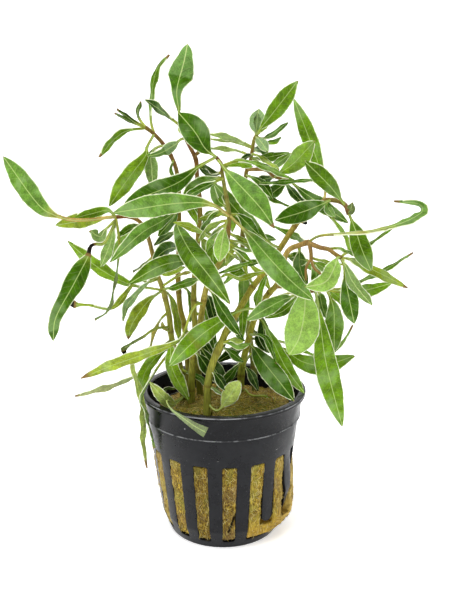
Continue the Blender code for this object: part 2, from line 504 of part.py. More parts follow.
def leaf_shape(route, width, roll, stalk, side, stations, start=0.0, kept=1.0):
    """A thin closed leaf with a keel under its midrib, from this far along its route.

    A cut leaf keeps only this share of its blade.
    """
    points = smooth_route(route, FINE_STATIONS)
    length = sum((second - first).length for first, second in zip(points, points[1:]))
    first = start / length
    shares = [first + (1 - first) * k / (stations - 1) for k in range(stations)]
    rings = []
    ways = tangents(points)
    turn = math.radians(roll)
    for share in shares:
        place = share * (FINE_STATIONS - 1)
        low = min(int(place), FINE_STATIONS - 2)
        point = points[low].lerp(points[low + 1], place - low)
        way = ways[low].lerp(ways[low + 1], place - low).normalized()
        sight = (point - EYE).normalized()
        flat = way.cross(sight).normalized()
        facing = flat.cross(way)
        across = flat * math.cos(turn) + facing * math.sin(turn)
        normal = facing * math.cos(turn) - flat * math.sin(turn)
        half = half_width(share * kept, stalk * kept, width)
        blade = min(1.0, max(0.0, (half - STALK_RADIUS) / (width / 2)))
        thick = STALK_KEEL + (BLADE_KEEL - STALK_KEEL) * blade
        lift = normal * (FOLD * half * blade * side)
        rings.append([
            point - across * half + lift,
            point - normal * (thick * side),
            point + across * half + lift,
        ])
    shape = bmesh.new()
    bridge_rings(shape, rings)
    return shape


def plug_height(x, y):
    """The lumpy top of the rockwool."""
    height = PLUG_TOP
    for lump_x, lump_y, rise, spread in LUMPS:
        away = math.hypot(x - lump_x, y - lump_y) / spread
        height += rise * math.exp(-away * away)
    return height


def wall_radius(height):
    """The outer radius of the pot's slotted wall, which leans out more below its corner."""
    if height < CORNER_HEIGHT:
        return BASE_RADIUS + (CORNER_RADIUS - BASE_RADIUS) * height / CORNER_HEIGHT
    share = (height - CORNER_HEIGHT) / (BAND_FOOT_HEIGHT - CORNER_HEIGHT)
    return CORNER_RADIUS + (WALL_TOP_RADIUS - CORNER_RADIUS) * share


def slot_half_width(height):
    """Half the width of a slot, which is wider at its top."""
    share = (height - SLOT_BOTTOM) / (SLOT_TOP - SLOT_BOTTOM)
    return (SLOT_BOTTOM_WIDTH + (SLOT_TOP_WIDTH - SLOT_BOTTOM_WIDTH) * share) / 2


def slot_angle(number):
    """Where a slot's middle is, turned from the viewer's side towards +X."""
    return SLOT_TURN + math.tau * number / SLOT_COUNT


def around(angle, radius, height):
    """A point at this angle from the viewer's side, towards +X."""
    return Vector((radius * math.sin(angle), -radius * math.cos(angle), height))


def wedge_cutter(name, angle, half_low, half_high, low, high, inner, outer, finish):
    """A cutter that leaves a slot with straight sides, a little narrower at the bottom."""
    out = around(angle, 1.0, 0.0)
    over = around(angle + math.pi / 2, 1.0, 0.0)
    rings = []
    for height, half in ((low, half_low), (high, half_high)):
        rings.append([
            out * inner - over * half + Vector((0, 0, height)),
            out * outer - over * half + Vector((0, 0, height)),
            out * outer + over * half + Vector((0, 0, height)),
            out * inner + over * half + Vector((0, 0, height)),
        ])
    shape = bmesh.new()
    bridge_rings(shape, rings)
    return as_helper(make_object(name, shape, finish))


def boolean(made, name, operation, helpers):
    """One exact Boolean with all the helpers, kept in a collection of their own."""
    group = bpy.data.collections.new(name)
    for helper in helpers:
        group.objects.link(helper)
    step = made.modifiers.new(name, "BOOLEAN")
    step.operation = operation
    step.operand_type = "COLLECTION"
    step.collection = group
    step.solver = "EXACT"


def make_pot():
    """The turned cup, with slots in its wall, drain slots in its floor and two broken bars."""
    finish = material("pot", (0.035, 0.035, 0.038), 0.35)
    outline = [
        (BASE_RADIUS, 0.0),
        (CORNER_RADIUS, CORNER_HEIGHT),
        (WALL_TOP_RADIUS, BAND_FOOT_HEIGHT),
        (BAND_FOOT_RADIUS, BAND_FOOT_HEIGHT),
        (BAND_RADIUS, POT_HEIGHT - RIM_THICKNESS),
        (RIM_RADIUS, POT_HEIGHT - RIM_THICKNESS),
        (RIM_RADIUS, POT_HEIGHT),
        (BAND_RADIUS - WALL, POT_HEIGHT),
        (wall_radius(BAND_FOOT_HEIGHT - LEDGE_DROP) - WALL, BAND_FOOT_HEIGHT - LEDGE_DROP),
        (CORNER_RADIUS - WALL, CORNER_HEIGHT),
        (wall_radius(BASE_THICKNESS) - WALL, BASE_THICKNESS),
    ]
    rings = []
    for radius, height in outline:
        rings.append([around(math.tau * k / POT_SEGMENTS, radius, height) for k in range(POT_SEGMENTS)])
    shape = bmesh.new()
    bridge_rings(shape, rings)
    pot = make_object("pot", shape, finish)
    cutters = []
    inner = BASE_RADIUS - CUT_REACH
    outer = RIM_RADIUS + CUT_REACH
    for number in range(SLOT_COUNT):
        cutters.append(wedge_cutter(
            f"slot_{number}", slot_angle(number), SLOT_BOTTOM_WIDTH / 2, SLOT_TOP_WIDTH / 2,
            SLOT_BOTTOM, SLOT_TOP, inner, outer, finish))
    for number in BROKEN_BARS:
        middle = slot_angle(number + 0.5)
        cutters.append(wedge_cutter(
            f"break_{number}", middle, BREAK_HALF, BREAK_HALF, SLOT_BOTTOM, BREAK_TOP, inner, outer, finish))
    for number in range(DRAIN_COUNT):
        cutters.append(wedge_cutter(
            f"drain_{number}", math.tau * number / DRAIN_COUNT, DRAIN_WIDTH / 2, DRAIN_WIDTH / 2,
            -DRAIN_CLEAR, BASE_THICKNESS + DRAIN_CLEAR, DRAIN_REACH[0], DRAIN_REACH[1], finish))
    boolean(pot, "pot_cuts", "DIFFERENCE", cutters)


def bulge_at(angle, height):
    """How far the rockwool swells out of the pot here."""
    total = 0.0
    for direction, middle, reach, spread, rise in BULGES:
        turn = (math.degrees(angle) - direction + 180) % 360 - 180
        total += reach * math.exp(-(turn / spread) ** 2 - ((height - middle) / rise) ** 2)
    return total


def plug_ring(height, in_slots):
    """One level of the plug. Between the slots it stays inside the pot, in the slots it fills them."""
    ring = []
    inner = wall_radius(height) - WALL - GAP
    for number in range(SLOT_COUNT):
        middle = slot_angle(number)
        outer = wall_radius(height) - RIB_RECESS + bulge_at(middle, height)
        turn = (slot_half_width(height) - GAP) / (wall_radius(height) - WALL)
        below_break = in_slots and height < BREAK_TOP - GAP
        before_open = below_break and number - 1 in BROKEN_BARS
        after_open = below_break and number in BROKEN_BARS
        reach = outer if in_slots else inner
        ring.append(around(middle - turn, reach if before_open else inner, height))
        ring.append(around(middle - turn * RIB_FACE_SHARE, reach, height))
        ring.append(around(middle + turn * RIB_FACE_SHARE, reach, height))
        ring.append(around(middle + turn, reach if after_open else inner, height))
    return ring


def plug_shoulder(height, shrink):
    """A level above the slots, drawn in from the wall."""
    ring = []
    for number in range(SLOT_COUNT):
        for step in SHOULDER_STEPS:
            angle = slot_angle(number + step)
            back_left = max(0.0, math.cos(angle - SHRINK_DIRECTION))
            radius = wall_radius(height) - WALL - GAP - shrink * (SHRINK_ALL_ROUND + back_left)
            ring.append(around(angle, radius, height))
    return ring


def make_plug(feet):
    """The rockwool: ribs in the slots, a lumpy top and a socket for each stem."""
    finish = material("rockwool", (0.46, 0.32, 0.10), 0.95)
    low = SLOT_BOTTOM + GAP
    high = SLOT_TOP - GAP
    broken = BREAK_TOP - GAP
    rings = [plug_ring(PLUG_BOTTOM, False), plug_ring(low - LEVEL_STEP, False)]
    for height in (low, broken - LEVEL_STEP, broken, RIB_MIDDLE, high):
        rings.append(plug_ring(height, True))
    rings.append(plug_ring(high + LEVEL_STEP, False))
    rings.append(plug_shoulder(PLUG_SHOULDER, PLUG_TOP_SHRINK * LOW_SHRINK_SHARE))
    for share, drop in ((TOP_EDGE_SHARE, TOP_EDGE_DROP), (TOP_MIDDLE_SHARE, 0.0)):
        ring = []
        for point in plug_shoulder(PLUG_SHOULDER, PLUG_TOP_SHRINK):
            x = point.x * share
            y = point.y * share
            ring.append(Vector((x, y, plug_height(x, y) - drop)))
        rings.append(ring)
    shape = bmesh.new()
    bridge_rings(shape, rings)
    plug = make_object("rockwool", shape, finish)
    cutters = []
    for name, (foot, radius) in feet.items():
        points = [Vector((foot.x, foot.y, SOCKET_BOTTOM)), Vector((foot.x, foot.y, SOCKET_TOP))]
        socket = stem_shape(points, radius + GAP + SOCKET_CLEAR, radius + GAP + SOCKET_CLEAR)
        cutters.append(as_helper(make_object(f"socket_{name}", socket, finish)))
    boolean(plug, "sockets", "DIFFERENCE", cutters)


def make_stem(name, feet):
    """One stem with its side shoots and the small leaves that grow from it."""
    finish = material(f"stem_{name}", (0.33, 0.29, 0.05), 0.5)
    foot_radius, tip_radius, route = STEM_ROUTES[name]
    seen = [seen_at(*point) for point in route]
    base = seen[0]
    feet[name] = (base, foot_radius)
    below = [Vector((base.x, base.y, FOOT_HEIGHT)), Vector((base.x, base.y, (FOOT_HEIGHT + base.z) / 2))]
    points = smooth_route(below + seen, len(seen) + 5)
    stem = make_object(f"stem_{name}", stem_shape(points, foot_radius, tip_radius), finish)
    lines = [points]
    growth = []
    for owner, first_radius, last_radius, way in SHOOTS:
        if owner == name:
            places = [seen_at(*point) for point in way]
            places[0] = nearest_on(lines, places[0])
            points = smooth_route(places, len(way) + 1)
            lines.append(points)
            growth.append(stem_shape(points, first_radius, last_radius))
    for owner, width, roll, stalk, side, way in SMALL_LEAVES:
        if owner == name:
            places = [seen_at(*point) for point in way]
            places[0] = nearest_on(lines, places[0])
            kept = CUT_LEAF_KEPT if way == CUT_LEAF else 1.0
            stations = station_count(places, SMALL_LEAST_STATIONS)
            growth.append(leaf_shape(places, width, roll, stalk, side, stations, kept=kept))
    helpers = [as_helper(make_object(f"{name}_growth_{i}", shape, finish)) for i, shape in enumerate(growth)]
    boolean(stem, f"{name}_joined", "UNION", helpers)


def make_leaf(name, width, roll, stalk, side, route):
    """One large leaf, its stalk just clear of the stem."""
    colour = (0.12, 0.26, 0.03) if side == TOP else (0.32, 0.47, 0.18)
    finish = material(name, colour, 0.45)
    places = [seen_at(*point) for point in route]
    stations = station_count(places, LARGE_LEAST_STATIONS)
    shape = leaf_shape(places, width, roll, stalk, side, stations, start=LEAF_START)
    make_object(name, shape, finish)


def main():
    for old in list(bpy.data.objects):
        bpy.data.objects.remove(old)
    feet = {}
    for name in STEM_ROUTES:
        make_stem(name, feet)
    make_pot()
    make_plug(feet)
    for name, width, roll, stalk, side, route in LARGE_LEAVES:
        make_leaf(name, width, roll, stalk, side, route)


main()
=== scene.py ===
# %% [markdown]
# # A potted aquarium plant, from its CAD solids to a finished look
#
# The object is one bunch of Cuba white edge Ludwigia inclinata. Seven stems stand in a plug of rockwool,
# and the plug fills a slotted black net pot. The CAD solids fix the size and the place of every stem
# and leaf. This lesson dresses them: thin two-sided leaves, stems with joints, fibres and wet plastic.

# %% Load the solids
import math
import random
from collections import namedtuple

import bmesh
import bpy
import numpy as np
from mathutils import Matrix, Vector, noise


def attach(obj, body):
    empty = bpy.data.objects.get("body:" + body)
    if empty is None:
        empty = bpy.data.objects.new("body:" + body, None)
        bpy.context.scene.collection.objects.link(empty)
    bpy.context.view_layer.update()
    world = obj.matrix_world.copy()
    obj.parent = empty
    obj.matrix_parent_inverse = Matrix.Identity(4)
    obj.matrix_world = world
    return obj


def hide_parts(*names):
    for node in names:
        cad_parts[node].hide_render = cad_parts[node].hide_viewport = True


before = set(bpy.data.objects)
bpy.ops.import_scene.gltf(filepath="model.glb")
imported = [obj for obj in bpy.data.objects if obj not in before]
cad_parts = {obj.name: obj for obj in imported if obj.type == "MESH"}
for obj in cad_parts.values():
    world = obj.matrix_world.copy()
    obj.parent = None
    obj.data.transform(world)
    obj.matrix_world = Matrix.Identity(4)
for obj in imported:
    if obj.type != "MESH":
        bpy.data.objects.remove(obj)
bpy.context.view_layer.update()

MM = 0.001

# %% [markdown]
# ## Helpers for every finish
#
# Paint charts and photos give colours as sRGB hex values, but a shader mixes linear light, so one
# function turns the first into the second. Another adds one shader node: a plain value is set on the
# node's socket, and another node, or one of its outputs, is linked to it. A third lays a shade over a
# colour, as strongly as a value says, which makes patches, specks and streaks. Below, lengths in a shader
# are in millimetres where they come from the mesh, and in metres where they come from the texture space.

# %% Colours and shader nodes
MATH = "ShaderNodeMath"
RANGE = "ShaderNodeMapRange"
MIX = "ShaderNodeMix"
NOISE = "ShaderNodeTexNoise"
READ = "ShaderNodeAttribute"
BUMP = "ShaderNodeBump"
SOFT = {"interpolation_type": "SMOOTHSTEP"}
COLOURS = {"data_type": "RGBA"}
SHADED = {"data_type": "RGBA", "blend_type": "MULTIPLY"}
TIMES = {"operation": "MULTIPLY"}
PLUS = {"operation": "ADD"}
TIMES_PLUS = {"operation": "MULTIPLY_ADD"}
WHITE = (1.0, 1.0, 1.0, 1.0)


def linear(colour):
    """The linear colour of an sRGB hex value such as #7CA138."""
    found = []
    for start in (1, 3, 5):
        value = int(colour[start:start + 2], 16) / 255
        found.append(value / 12.92 if value <= 0.04045 else ((value + 0.055) / 1.055) ** 2.4)
    return (*found, 1.0)


def plug_in(tree, node, sockets):
    """Sets each socket to its value, or links it to an output or to a node's first live output."""
    for name, value in sockets.items():
        if isinstance(value, bpy.types.Node):
            value = next(output for output in value.outputs if output.enabled)
        if isinstance(value, bpy.types.NodeSocket):
            tree.links.new(value, node.inputs[name])
        else:
            node.inputs[name].default_value = value


def add_node(tree, kind, settings=None, sockets=None):
    """One shader node, with its settings and with each socket set or linked."""
    made = tree.nodes.new(kind)
    for name, value in (settings or {}).items():
        setattr(made, name, value)
    plug_in(tree, made, sockets or {})
    return made


def new_finish(name, settings):
    """A material with a Principled shader, its tree and the shader itself."""
    finish = bpy.data.materials.new(name)
    finish.use_nodes = True
    shader = finish.node_tree.nodes["Principled BSDF"]
    plug_in(finish.node_tree, shader, settings)
    return finish, finish.node_tree, shader


def lay_over(tree, colour, shade, value, span, strength):
    """A shade laid over a colour, as strongly as the place of a value in its span says.

    Strength is how strong the shade is at the start and at the end of the span.
    """
    mask = add_node(tree, RANGE, SOFT, {
        "Value": value, "From Min": span[0], "From Max": span[1],
        "To Min": strength[0], "To Max": strength[1]})
    return add_node(tree, MIX, COLOURS, {0: mask, 6: colour, 7: linear(shade)})


print("#7CA138 is", [round(v, 3) for v in linear("#7CA138")], "in linear light")

# %% [markdown]
# ## Places in the view
#
# The plant was measured in a view from the front. A place in it is a column, a row and a depth in
# millimetres: 0 is the pot's axis and minus is nearer. The eye stands 230 mm in front of the pot,
# 131 mm up, and looks down by 13 degrees. The same function put the solids where they are, so what
# is placed with it here lies on them. Depths are stretched above the pot, because the stems lean apart.

# %% The eye, and a smooth route
VIEW_CENTRE = (235.0, 298.0)
VIEW_FOCUS = 737.0
VIEW_HIGH = 596
VIEW_PITCH = math.radians(13.0)
EYE = Vector((3.84, -229.7, 130.6))
FAN = 0.55
FAN_FROM = 390.0
FAN_TO = 300.0
CURVE_STEPS = 12


def seen_at(column, row, depth):
    """The place, in millimetres, that the view shows at this column and row."""
    depth *= 1.0 + FAN * min(1.0, max(0.0, (FAN_FROM - row) / (FAN_FROM - FAN_TO)))
    across = (column - VIEW_CENTRE[0]) / VIEW_FOCUS
    above = (VIEW_CENTRE[1] - row) / VIEW_FOCUS
    forward = math.cos(VIEW_PITCH) + above * math.sin(VIEW_PITCH)
    rise = above * math.cos(VIEW_PITCH) - math.sin(VIEW_PITCH)
    reach = (depth - EYE.y) / forward
    return Vector((EYE.x + reach * across, depth, EYE.z + reach * rise))


def smooth_route(points, count):
    """Count points, evenly spaced in length, on a smooth curve through the given points."""
    ends = [points[0] * 2 - points[1]] + points + [points[-1] * 2 - points[-2]]
    fine = []
    for i in range(1, len(ends) - 2):
        before, start, end, after = ends[i - 1], ends[i], ends[i + 1], ends[i + 2]
        for step in range(CURVE_STEPS):
            t = step / CURVE_STEPS
            bend = (before * 2 - start * 5 + end * 4 - after) * t * t
            turn = (start * 3 - before - end * 3 + after) * t * t * t
            fine.append((start * 2 + (end - before) * t + bend + turn) / 2)
    fine.append(points[-1])
    lengths = [0.0]
    for first, second in zip(fine, fine[1:]):
        lengths.append(lengths[-1] + (second - first).length)
    found = []
    place = 0
    for k in range(count):
        want = lengths[-1] * k / (count - 1)
        while place < len(fine) - 2 and lengths[place + 1] < want:
            place += 1
        share = (want - lengths[place]) / (lengths[place + 1] - lengths[place])
        found.append(fine[place].lerp(fine[place + 1], share))
    return found


def tangents(points):
    """The direction of the route at each of its points."""
    last = len(points) - 1
    return [(points[min(i + 1, last)] - points[max(i - 1, 0)]).normalized() for i in range(last + 1)]


def nearest_on(lines, place):
    """The point nearest to a place on any of these lines of points."""
    best = lines[0][0]
    for line in lines:
        for first, second in zip(line, line[1:]):
            along = second - first
            share = min(1.0, max(0.0, (place - first).dot(along) / along.length_squared))
            point = first + along * share
            if (point - place).length < (best - place).length:
                best = point
    return best


print("the middle of the rim is seen at", [round(v, 1) for v in seen_at(233.0, 401.0, 0.0)], "mm")

# %% [markdown]
# ## One mesh at a time, with numbers on its points
#
# A leaf's white edge, its midrib and its veins follow the leaf and not the room, so the shader needs
# to know how far each point is from the edge and from the midrib. A mesh can carry such numbers as
# attributes. This small class collects points, faces and numbers in millimetres, so that a stem and
# all its small leaves become one mesh, and makes the object at the end.

# %% Collect a mesh
NUMBERS = ("across", "edge", "slant", "wither", "blade")


def add_object(name, data):
    """A new object with this data, put in the scene."""
    made = bpy.data.objects.new(name, data)
    bpy.context.scene.collection.objects.link(made)
    return made


def as_object(name, shape):
    """An object from a bmesh, which is used up."""
    mesh = bpy.data.meshes.new(name)
    shape.to_mesh(mesh)
    shape.free()
    return add_object(name, mesh)


class Growth:
    """Points with their numbers, and faces with their kind, in millimetres."""

    def __init__(self):
        self.points = []
        self.faces = []
        self.kinds = []
        self.numbers = {name: [] for name in NUMBERS}
        self.tints = []

    def point(self, place, tint, **numbers):
        """Adds a point, its colour and its numbers, and returns its place in the list."""
        self.points.append(place)
        self.tints.append(tint)
        for name in NUMBERS:
            self.numbers[name].append(numbers.get(name, 0.0))
        return len(self.points) - 1

    def face(self, corners, kind=0):
        """Adds a face of this kind."""
        self.faces.append(corners)
        self.kinds.append(kind)

    def bridge(self, lower, upper, kinds):
        """Faces between two rings of the same count. Kinds is one kind for each face of the ring."""
        count = len(lower)
        for i in range(count):
            j = (i + 1) % count
            self.face((lower[i], lower[j], upper[j], upper[i]), kinds[i])

    def finished(self, name, finishes):
        """The object, with smooth faces and with one material for each kind."""
        mesh = bpy.data.meshes.new(name)
        mesh.from_pydata([point * MM for point in self.points], [], self.faces)
        mesh.polygons.foreach_set("material_index", self.kinds)
        mesh.polygons.foreach_set("use_smooth", [True] * len(self.faces))
        for label, values in self.numbers.items():
            layer = mesh.attributes.new(label, "FLOAT", "POINT")
            layer.data.foreach_set("value", values)
        layer = mesh.attributes.new("tint", "FLOAT_COLOR", "POINT")
        layer.data.foreach_set("color", np.array(self.tints, float).reshape(-1))
        for finish in finishes:
            mesh.materials.append(finish)
        shape = bmesh.new()
        shape.from_mesh(mesh)
        bmesh.ops.recalc_face_normals(shape, faces=shape.faces)
        shape.to_mesh(mesh)
        shape.free()
        return add_object(name, mesh)


def put_on(piece, slot, *nodes):
    """Lets the piece ride on the plant's one body, in place of these solids."""
    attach(piece, "root")
    if nodes:
        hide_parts(*nodes)
    print(piece.name, len(piece.data.polygons), "faces")


# %% [markdown]
# ## The form of a leaf
#
# Each leaf is a thin stalk and a lance-shaped blade, about 0.25 mm thick, with a rib under its middle,
# a shallow groove above it, a wavy edge with small blunt teeth and a droop towards both edges. A flat
# card would show the same colour from both sides and no light on its ripples. So the blade is a closed
# skin: one ring of points round each of its stations, with the upper side first and the under side after.

# %% Build a leaf
TOP = 1
UNDER = -1
UPPER_KIND = 1
UNDER_KIND = 2

# Lengths in mm. The waves and ripples also shift across the leaf, by this many radians.
STALK_RADIUS = 0.42
TIP_RADIUS = 0.12
BLADE_THICKNESS = 0.24
SKIN_RISE = 0.1
FOLD = 0.16
FOLD_POWER = 1.6
WAVE_LENGTH = 8.0
WAVE_HEIGHT = 0.42
WAVE_SHIFT = 2.1
RIPPLE_LENGTH = 3.1
RIPPLE_HEIGHT = 0.1
RIPPLE_SHIFT = 7
TOOTH_SPACING = 2.1
TOOTH_DEPTH = 0.11
LEAST_TOOTHED = 0.5
RIB_HEIGHT = 0.34
RIB_WIDTH = 0.3
RIB_TAPER = 0.6
GROOVE_DEPTH = 0.1
LEAF_START = 0.2
VEIN_SLANT = 0.9

# The outline: where it is widest, how blunt it is, and how the stalk's round section becomes a blade.
WIDEST_POWER = 1.2
BLUNTNESS = 0.72
FLATTENING = 0.4
BLADE_FROM = 0.05
MARGIN_THINNING = 0.7
MARGIN_POWER = 6

# How green a blade is where its stalk ends, and the share of the length over which it turns green.
GREEN_AT_STALK = 0.35
GREEN_REACH = 0.2

# What a leaf has when it has no white edge, isn't folded over and keeps the usual form.
NO_EDGE = 9.0
NOT_TURNED = 2.0
USUAL_FORM = ((0.0, 1.0),)

# Points along a leaf: on its route, and how much closer its stations stand towards the tip.
ROUTE_POINTS = 81
STATION_POWER = 0.94
NOT_ZERO = 0.01

# These turn the ends of a leaf's route into a number that looks random, so leaves don't wave alike.
PHASE_MIX = (12.9898, 78.233, 43.758)

# A leaf of this width has the full white edge and midrib. A narrower one has finer ones, to this part.
FULL_WIDTH = 5.0
FINEST = 0.5
ACROSS = (-0.96, -0.82, -0.6, -0.36, -0.14, 0.0, 0.14, 0.36, 0.6, 0.82, 0.96)

# One cross section of a leaf: where it is, the ways across and up, and its measures.
Station = namedtuple("Station", "point across up share run half blade phase wither fineness pale_edged")

# What the two sides of a leaf look like, as (upper side, under side).
LOOKS = {
    "light": ("#668F34", "#86A656"),
    "lime": ("#889C26", "#A0B048"),
    "yellow": ("#9CB038", "#A8B850"),
    "straw": ("#C2B25C", "#C2B668"),
    "bright": ("#80A622", "#94B44C"),
    "fresh": ("#6B9418", "#86A844"),
    "mid": ("#54790F", "#7A9C46"),
    "deep": ("#3E6604", "#6C9038"),
    "dark": ("#284802", "#4E6A22"),
    "pale": ("#6B9418", "#93B953"),
    "milky": ("#94AA58", "#BACE68"),
    "inner": ("#94AA58", "#A2B254"),
    "ashen": ("#A8AE76", "#9CA470"),
    "grey": ("#54790F", "#74904A"),
    "dull": ("#4C6A18", "#76874E"),
    "folded": ("#44700A", "#6A9244"),
    "rolled": ("#44700A", "#88A56C"),
    "bud": ("#3A5210", "#56683A"),
    "cut": ("#7C8860", "#7C8860"),
}

# Looks without the white edge.
DULL_EDGED = ("dull", "bud", "cut")

# Tints of a stalk, and the leaves whose stalk isn't plain.
STALK_TINTS = {"plain": "#9EA63E", "tan": "#C4A05A", "olive": "#948E3C"}
STALK_TINT_OF = {
    "leaf_left_1": "tan", "leaf_front_1": "tan", "leaf_right_1": "tan", "leaf_front_6": "tan",
    "leaf_low_right_1": "olive",
}


def along_points(points, value):
    """The second number of a list of (first, second) points, read off at this first number."""
    points = sorted(points)
    if value <= points[0][0]:
        return points[0][1]
    for (low, first), (high, second) in zip(points, points[1:]):
        if value <= high:
            return first + (second - first) * (value - low) / (high - low)
    return points[-1][1]


def half_width(share, stalk, width):
    """Half the width at a share of the leaf's length: a thin stalk, then a lance-shaped blade."""
    if share <= stalk:
        return STALK_RADIUS
    along = (share - stalk) / (1 - stalk)
    blade = max(0.0, math.sin(math.pi * along ** WIDEST_POWER)) ** BLUNTNESS * width / 2
    taper = STALK_RADIUS * (1 - along) + TIP_RADIUS
    return max(blade, taper)


def leaf_frame(points, ways, share, turn, side):
    """The middle of a leaf at a share of its route, and the ways across it and up from it."""
    place = share * (len(points) - 1)
    low = min(int(place), len(points) - 2)
    point = points[low].lerp(points[low + 1], place - low)
    way = ways[low].lerp(ways[low + 1], place - low).normalized()
    sight = (point - EYE).normalized()
    flat = way.cross(sight).normalized()
    facing = flat.cross(way)
    across = flat * math.cos(turn) + facing * math.sin(turn)
    up = (flat * math.sin(turn) - facing * math.cos(turn)) * side
    return point, across, up


def sheet_height(at, u, ripple_height):
    """How far the middle of the leaf's skin stands off its flat: waves, ripples and a droop."""
    away = abs(u)
    wave = WAVE_HEIGHT * at.blade * away ** 2
    wave *= math.sin(math.tau * at.run / WAVE_LENGTH + at.phase + WAVE_SHIFT * u)
    ripple = ripple_height * at.blade
    ripple *= math.sin(math.tau * at.run / RIPPLE_LENGTH + RIPPLE_SHIFT * u + at.phase)
    return wave + ripple - FOLD * at.half * away ** FOLD_POWER * at.blade + SKIN_RISE


def skin_height(at, u, face):
    """How far the upper or the under side lies off the middle: a groove above and a rib below."""
    thick = STALK_RADIUS + (BLADE_THICKNESS / 2 - STALK_RADIUS) * at.blade ** FLATTENING
    if at.blade < BLADE_FROM:
        skin = thick * math.sqrt(max(0.0, 1 - u * u))
    else:
        skin = thick * (1 - abs(u) ** MARGIN_POWER * MARGIN_THINNING)
    near_rib = at.blade * math.exp(-(u * at.half / RIB_WIDTH) ** 2)
    if face > 0:
        return skin - GROOVE_DEPTH * near_rib
    return -(skin + RIB_HEIGHT * (1.0 - RIB_TAPER * at.share) * near_rib)


def leaf_point(growth, at, u, reach, height, tint):
    """Adds one point of a leaf, with the numbers that its finish needs."""
    away = abs(u) * at.half
    return growth.point(
        at.point + at.across * reach + at.up * height, tint, across=away / at.fineness,
        slant=at.run - VEIN_SLANT * away, wither=at.wither, blade=at.blade,
        edge=(at.half - away) / at.fineness if at.pale_edged else NO_EDGE)


def leaf_ring(growth, at, tints):
    """The points round one station: the upper side, a margin, the under side and the other margin."""
    sides = []
    for face, tint in zip((1, -1), tints):
        sides.append([
            leaf_point(growth, at, u, u * at.half,
                       sheet_height(at, u, RIPPLE_HEIGHT) + skin_height(at, u, face), tint)
            for u in ACROSS[::face]])
    tooth = math.sin(math.tau * at.run / TOOTH_SPACING + at.phase)
    tooth = 1.0 + TOOTH_DEPTH / max(at.half, LEAST_TOOTHED) * at.blade * tooth
    margins = [leaf_point(growth, at, u, u * at.half * tooth, sheet_height(at, u, 0.0), tints[0])
               for u in (1, -1)]
    return sides[0] + margins[:1] + sides[1] + margins[1:]


def leaf_phase(route):
    """Where a leaf's waves start, which differs from leaf to leaf."""
    mixed = abs(route[0].x * PHASE_MIX[0] + route[-1].z * PHASE_MIX[1]) * PHASE_MIX[2]
    return math.modf(mixed)[0] * math.tau


def grow_leaf(growth, route, width, roll, stalk, side, look, stations, withered, form,
              start=0.0, kept=1.0, turned=NOT_TURNED, stalk_tint="plain"):
    """Adds one leaf to the growth.

    Withered lists (share of the length, reach, strength): 1 is brown and 2 is black. From the share
    called turned on, the leaf shows its other side. Form lists (share of the length, part of the
    usual width).
    """
    points = smooth_route(route, ROUTE_POINTS)
    ways = tangents(points)
    length = sum((second - first).length for first, second in zip(points, points[1:]))
    first = start / length
    phase = leaf_phase(route)
    upper, under = (np.array(linear(colour)) for colour in LOOKS[look])
    stalk_colour = np.array(linear(STALK_TINTS[stalk_tint]))
    before = None
    for k in range(stations):
        share = first + (1 - first) * (k / (stations - 1)) ** STATION_POWER
        half = max(TIP_RADIUS, half_width(share * kept, stalk * kept, width) * along_points(form, share))
        blade = min(1.0, max(0.0, (half - STALK_RADIUS) / (width / 2 - STALK_RADIUS + NOT_ZERO)))
        at = Station(
            *leaf_frame(points, ways, share, math.radians(roll), side), share, share * length, half, blade,
            phase, sum(dark * math.exp(-((share - spot) / reach) ** 2) for spot, reach, dark in withered),
            min(1.0, max(FINEST, width / FULL_WIDTH)), blade > BLADE_FROM and look not in DULL_EDGED)
        green = min(1.0, max(0.0, (share - stalk) / GREEN_REACH + GREEN_AT_STALK))
        shown = (under, upper) if share > turned else (upper, under)
        ring = leaf_ring(growth, at, [stalk_colour * (1 - green) + tint * green for tint in shown])
        kinds = [UPPER_KIND] * len(ACROSS) + [UNDER_KIND] * (len(ACROSS) + 1) + [UPPER_KIND]
        if share > turned:
            kinds = [UNDER_KIND + UPPER_KIND - kind for kind in kinds]
        if before:
            growth.bridge(before, ring, kinds)
        else:
            growth.face(tuple(ring[::-1]), UPPER_KIND)
        before = ring
    growth.face(tuple(before), UPPER_KIND)


print(len(ACROSS), "points across each side of a leaf")

# %% [markdown]
# ## The two skins of a leaf
#
# A living leaf is thin, soft and a little waxy. Light goes a short way into it, so it takes a weak
# sheen and glows where it is lit from behind. The upper side is a full green with a pale, sunken
# midrib, faint side veins that run to the edge, and the white edge that this plant is named for. Over
# it lie large patches of painted sheen, pale blue green, and patches of painted shade, darker. The
# under side is paler and duller, and its veins stand out.
# The IOR of a leaf's skin is about 1.42 and its roughness about 0.4. The side veins are about 2 mm
# apart and the white edge is about 0.2 mm wide on the plant. Both are drawn at that size.

# %% Finish of the leaves
VEIN_SPACING = 2.3
VEIN_HALF = 0.3
VEIN_BEND = 1.3
WHITE_EDGE = 0.2
EDGE_RAGGED = 0.1
MOTTLE_GRAIN = 2.6
CELL_GRAIN = 0.45
CELL_SHADES = (0.8, 1.16)
# Painted light on the leaves, from one noise of this grain in mm: pale patches of painted sheen and darker
# patches of painted shade.
PAINTED_LIGHT_GRAIN = 6.5
PAINTED_SHEEN_FROM = (0.48, 0.66)
PAINTED_SHEEN_COLOUR = "#A4C284"
PAINTED_SHADE_FROM = (0.34, 0.5)
PAINTED_SHADE_DARKNESS = 0.84
BROWN_FROM = (0.6, 1.0)
BLACK_FROM = (1.35, 1.85)


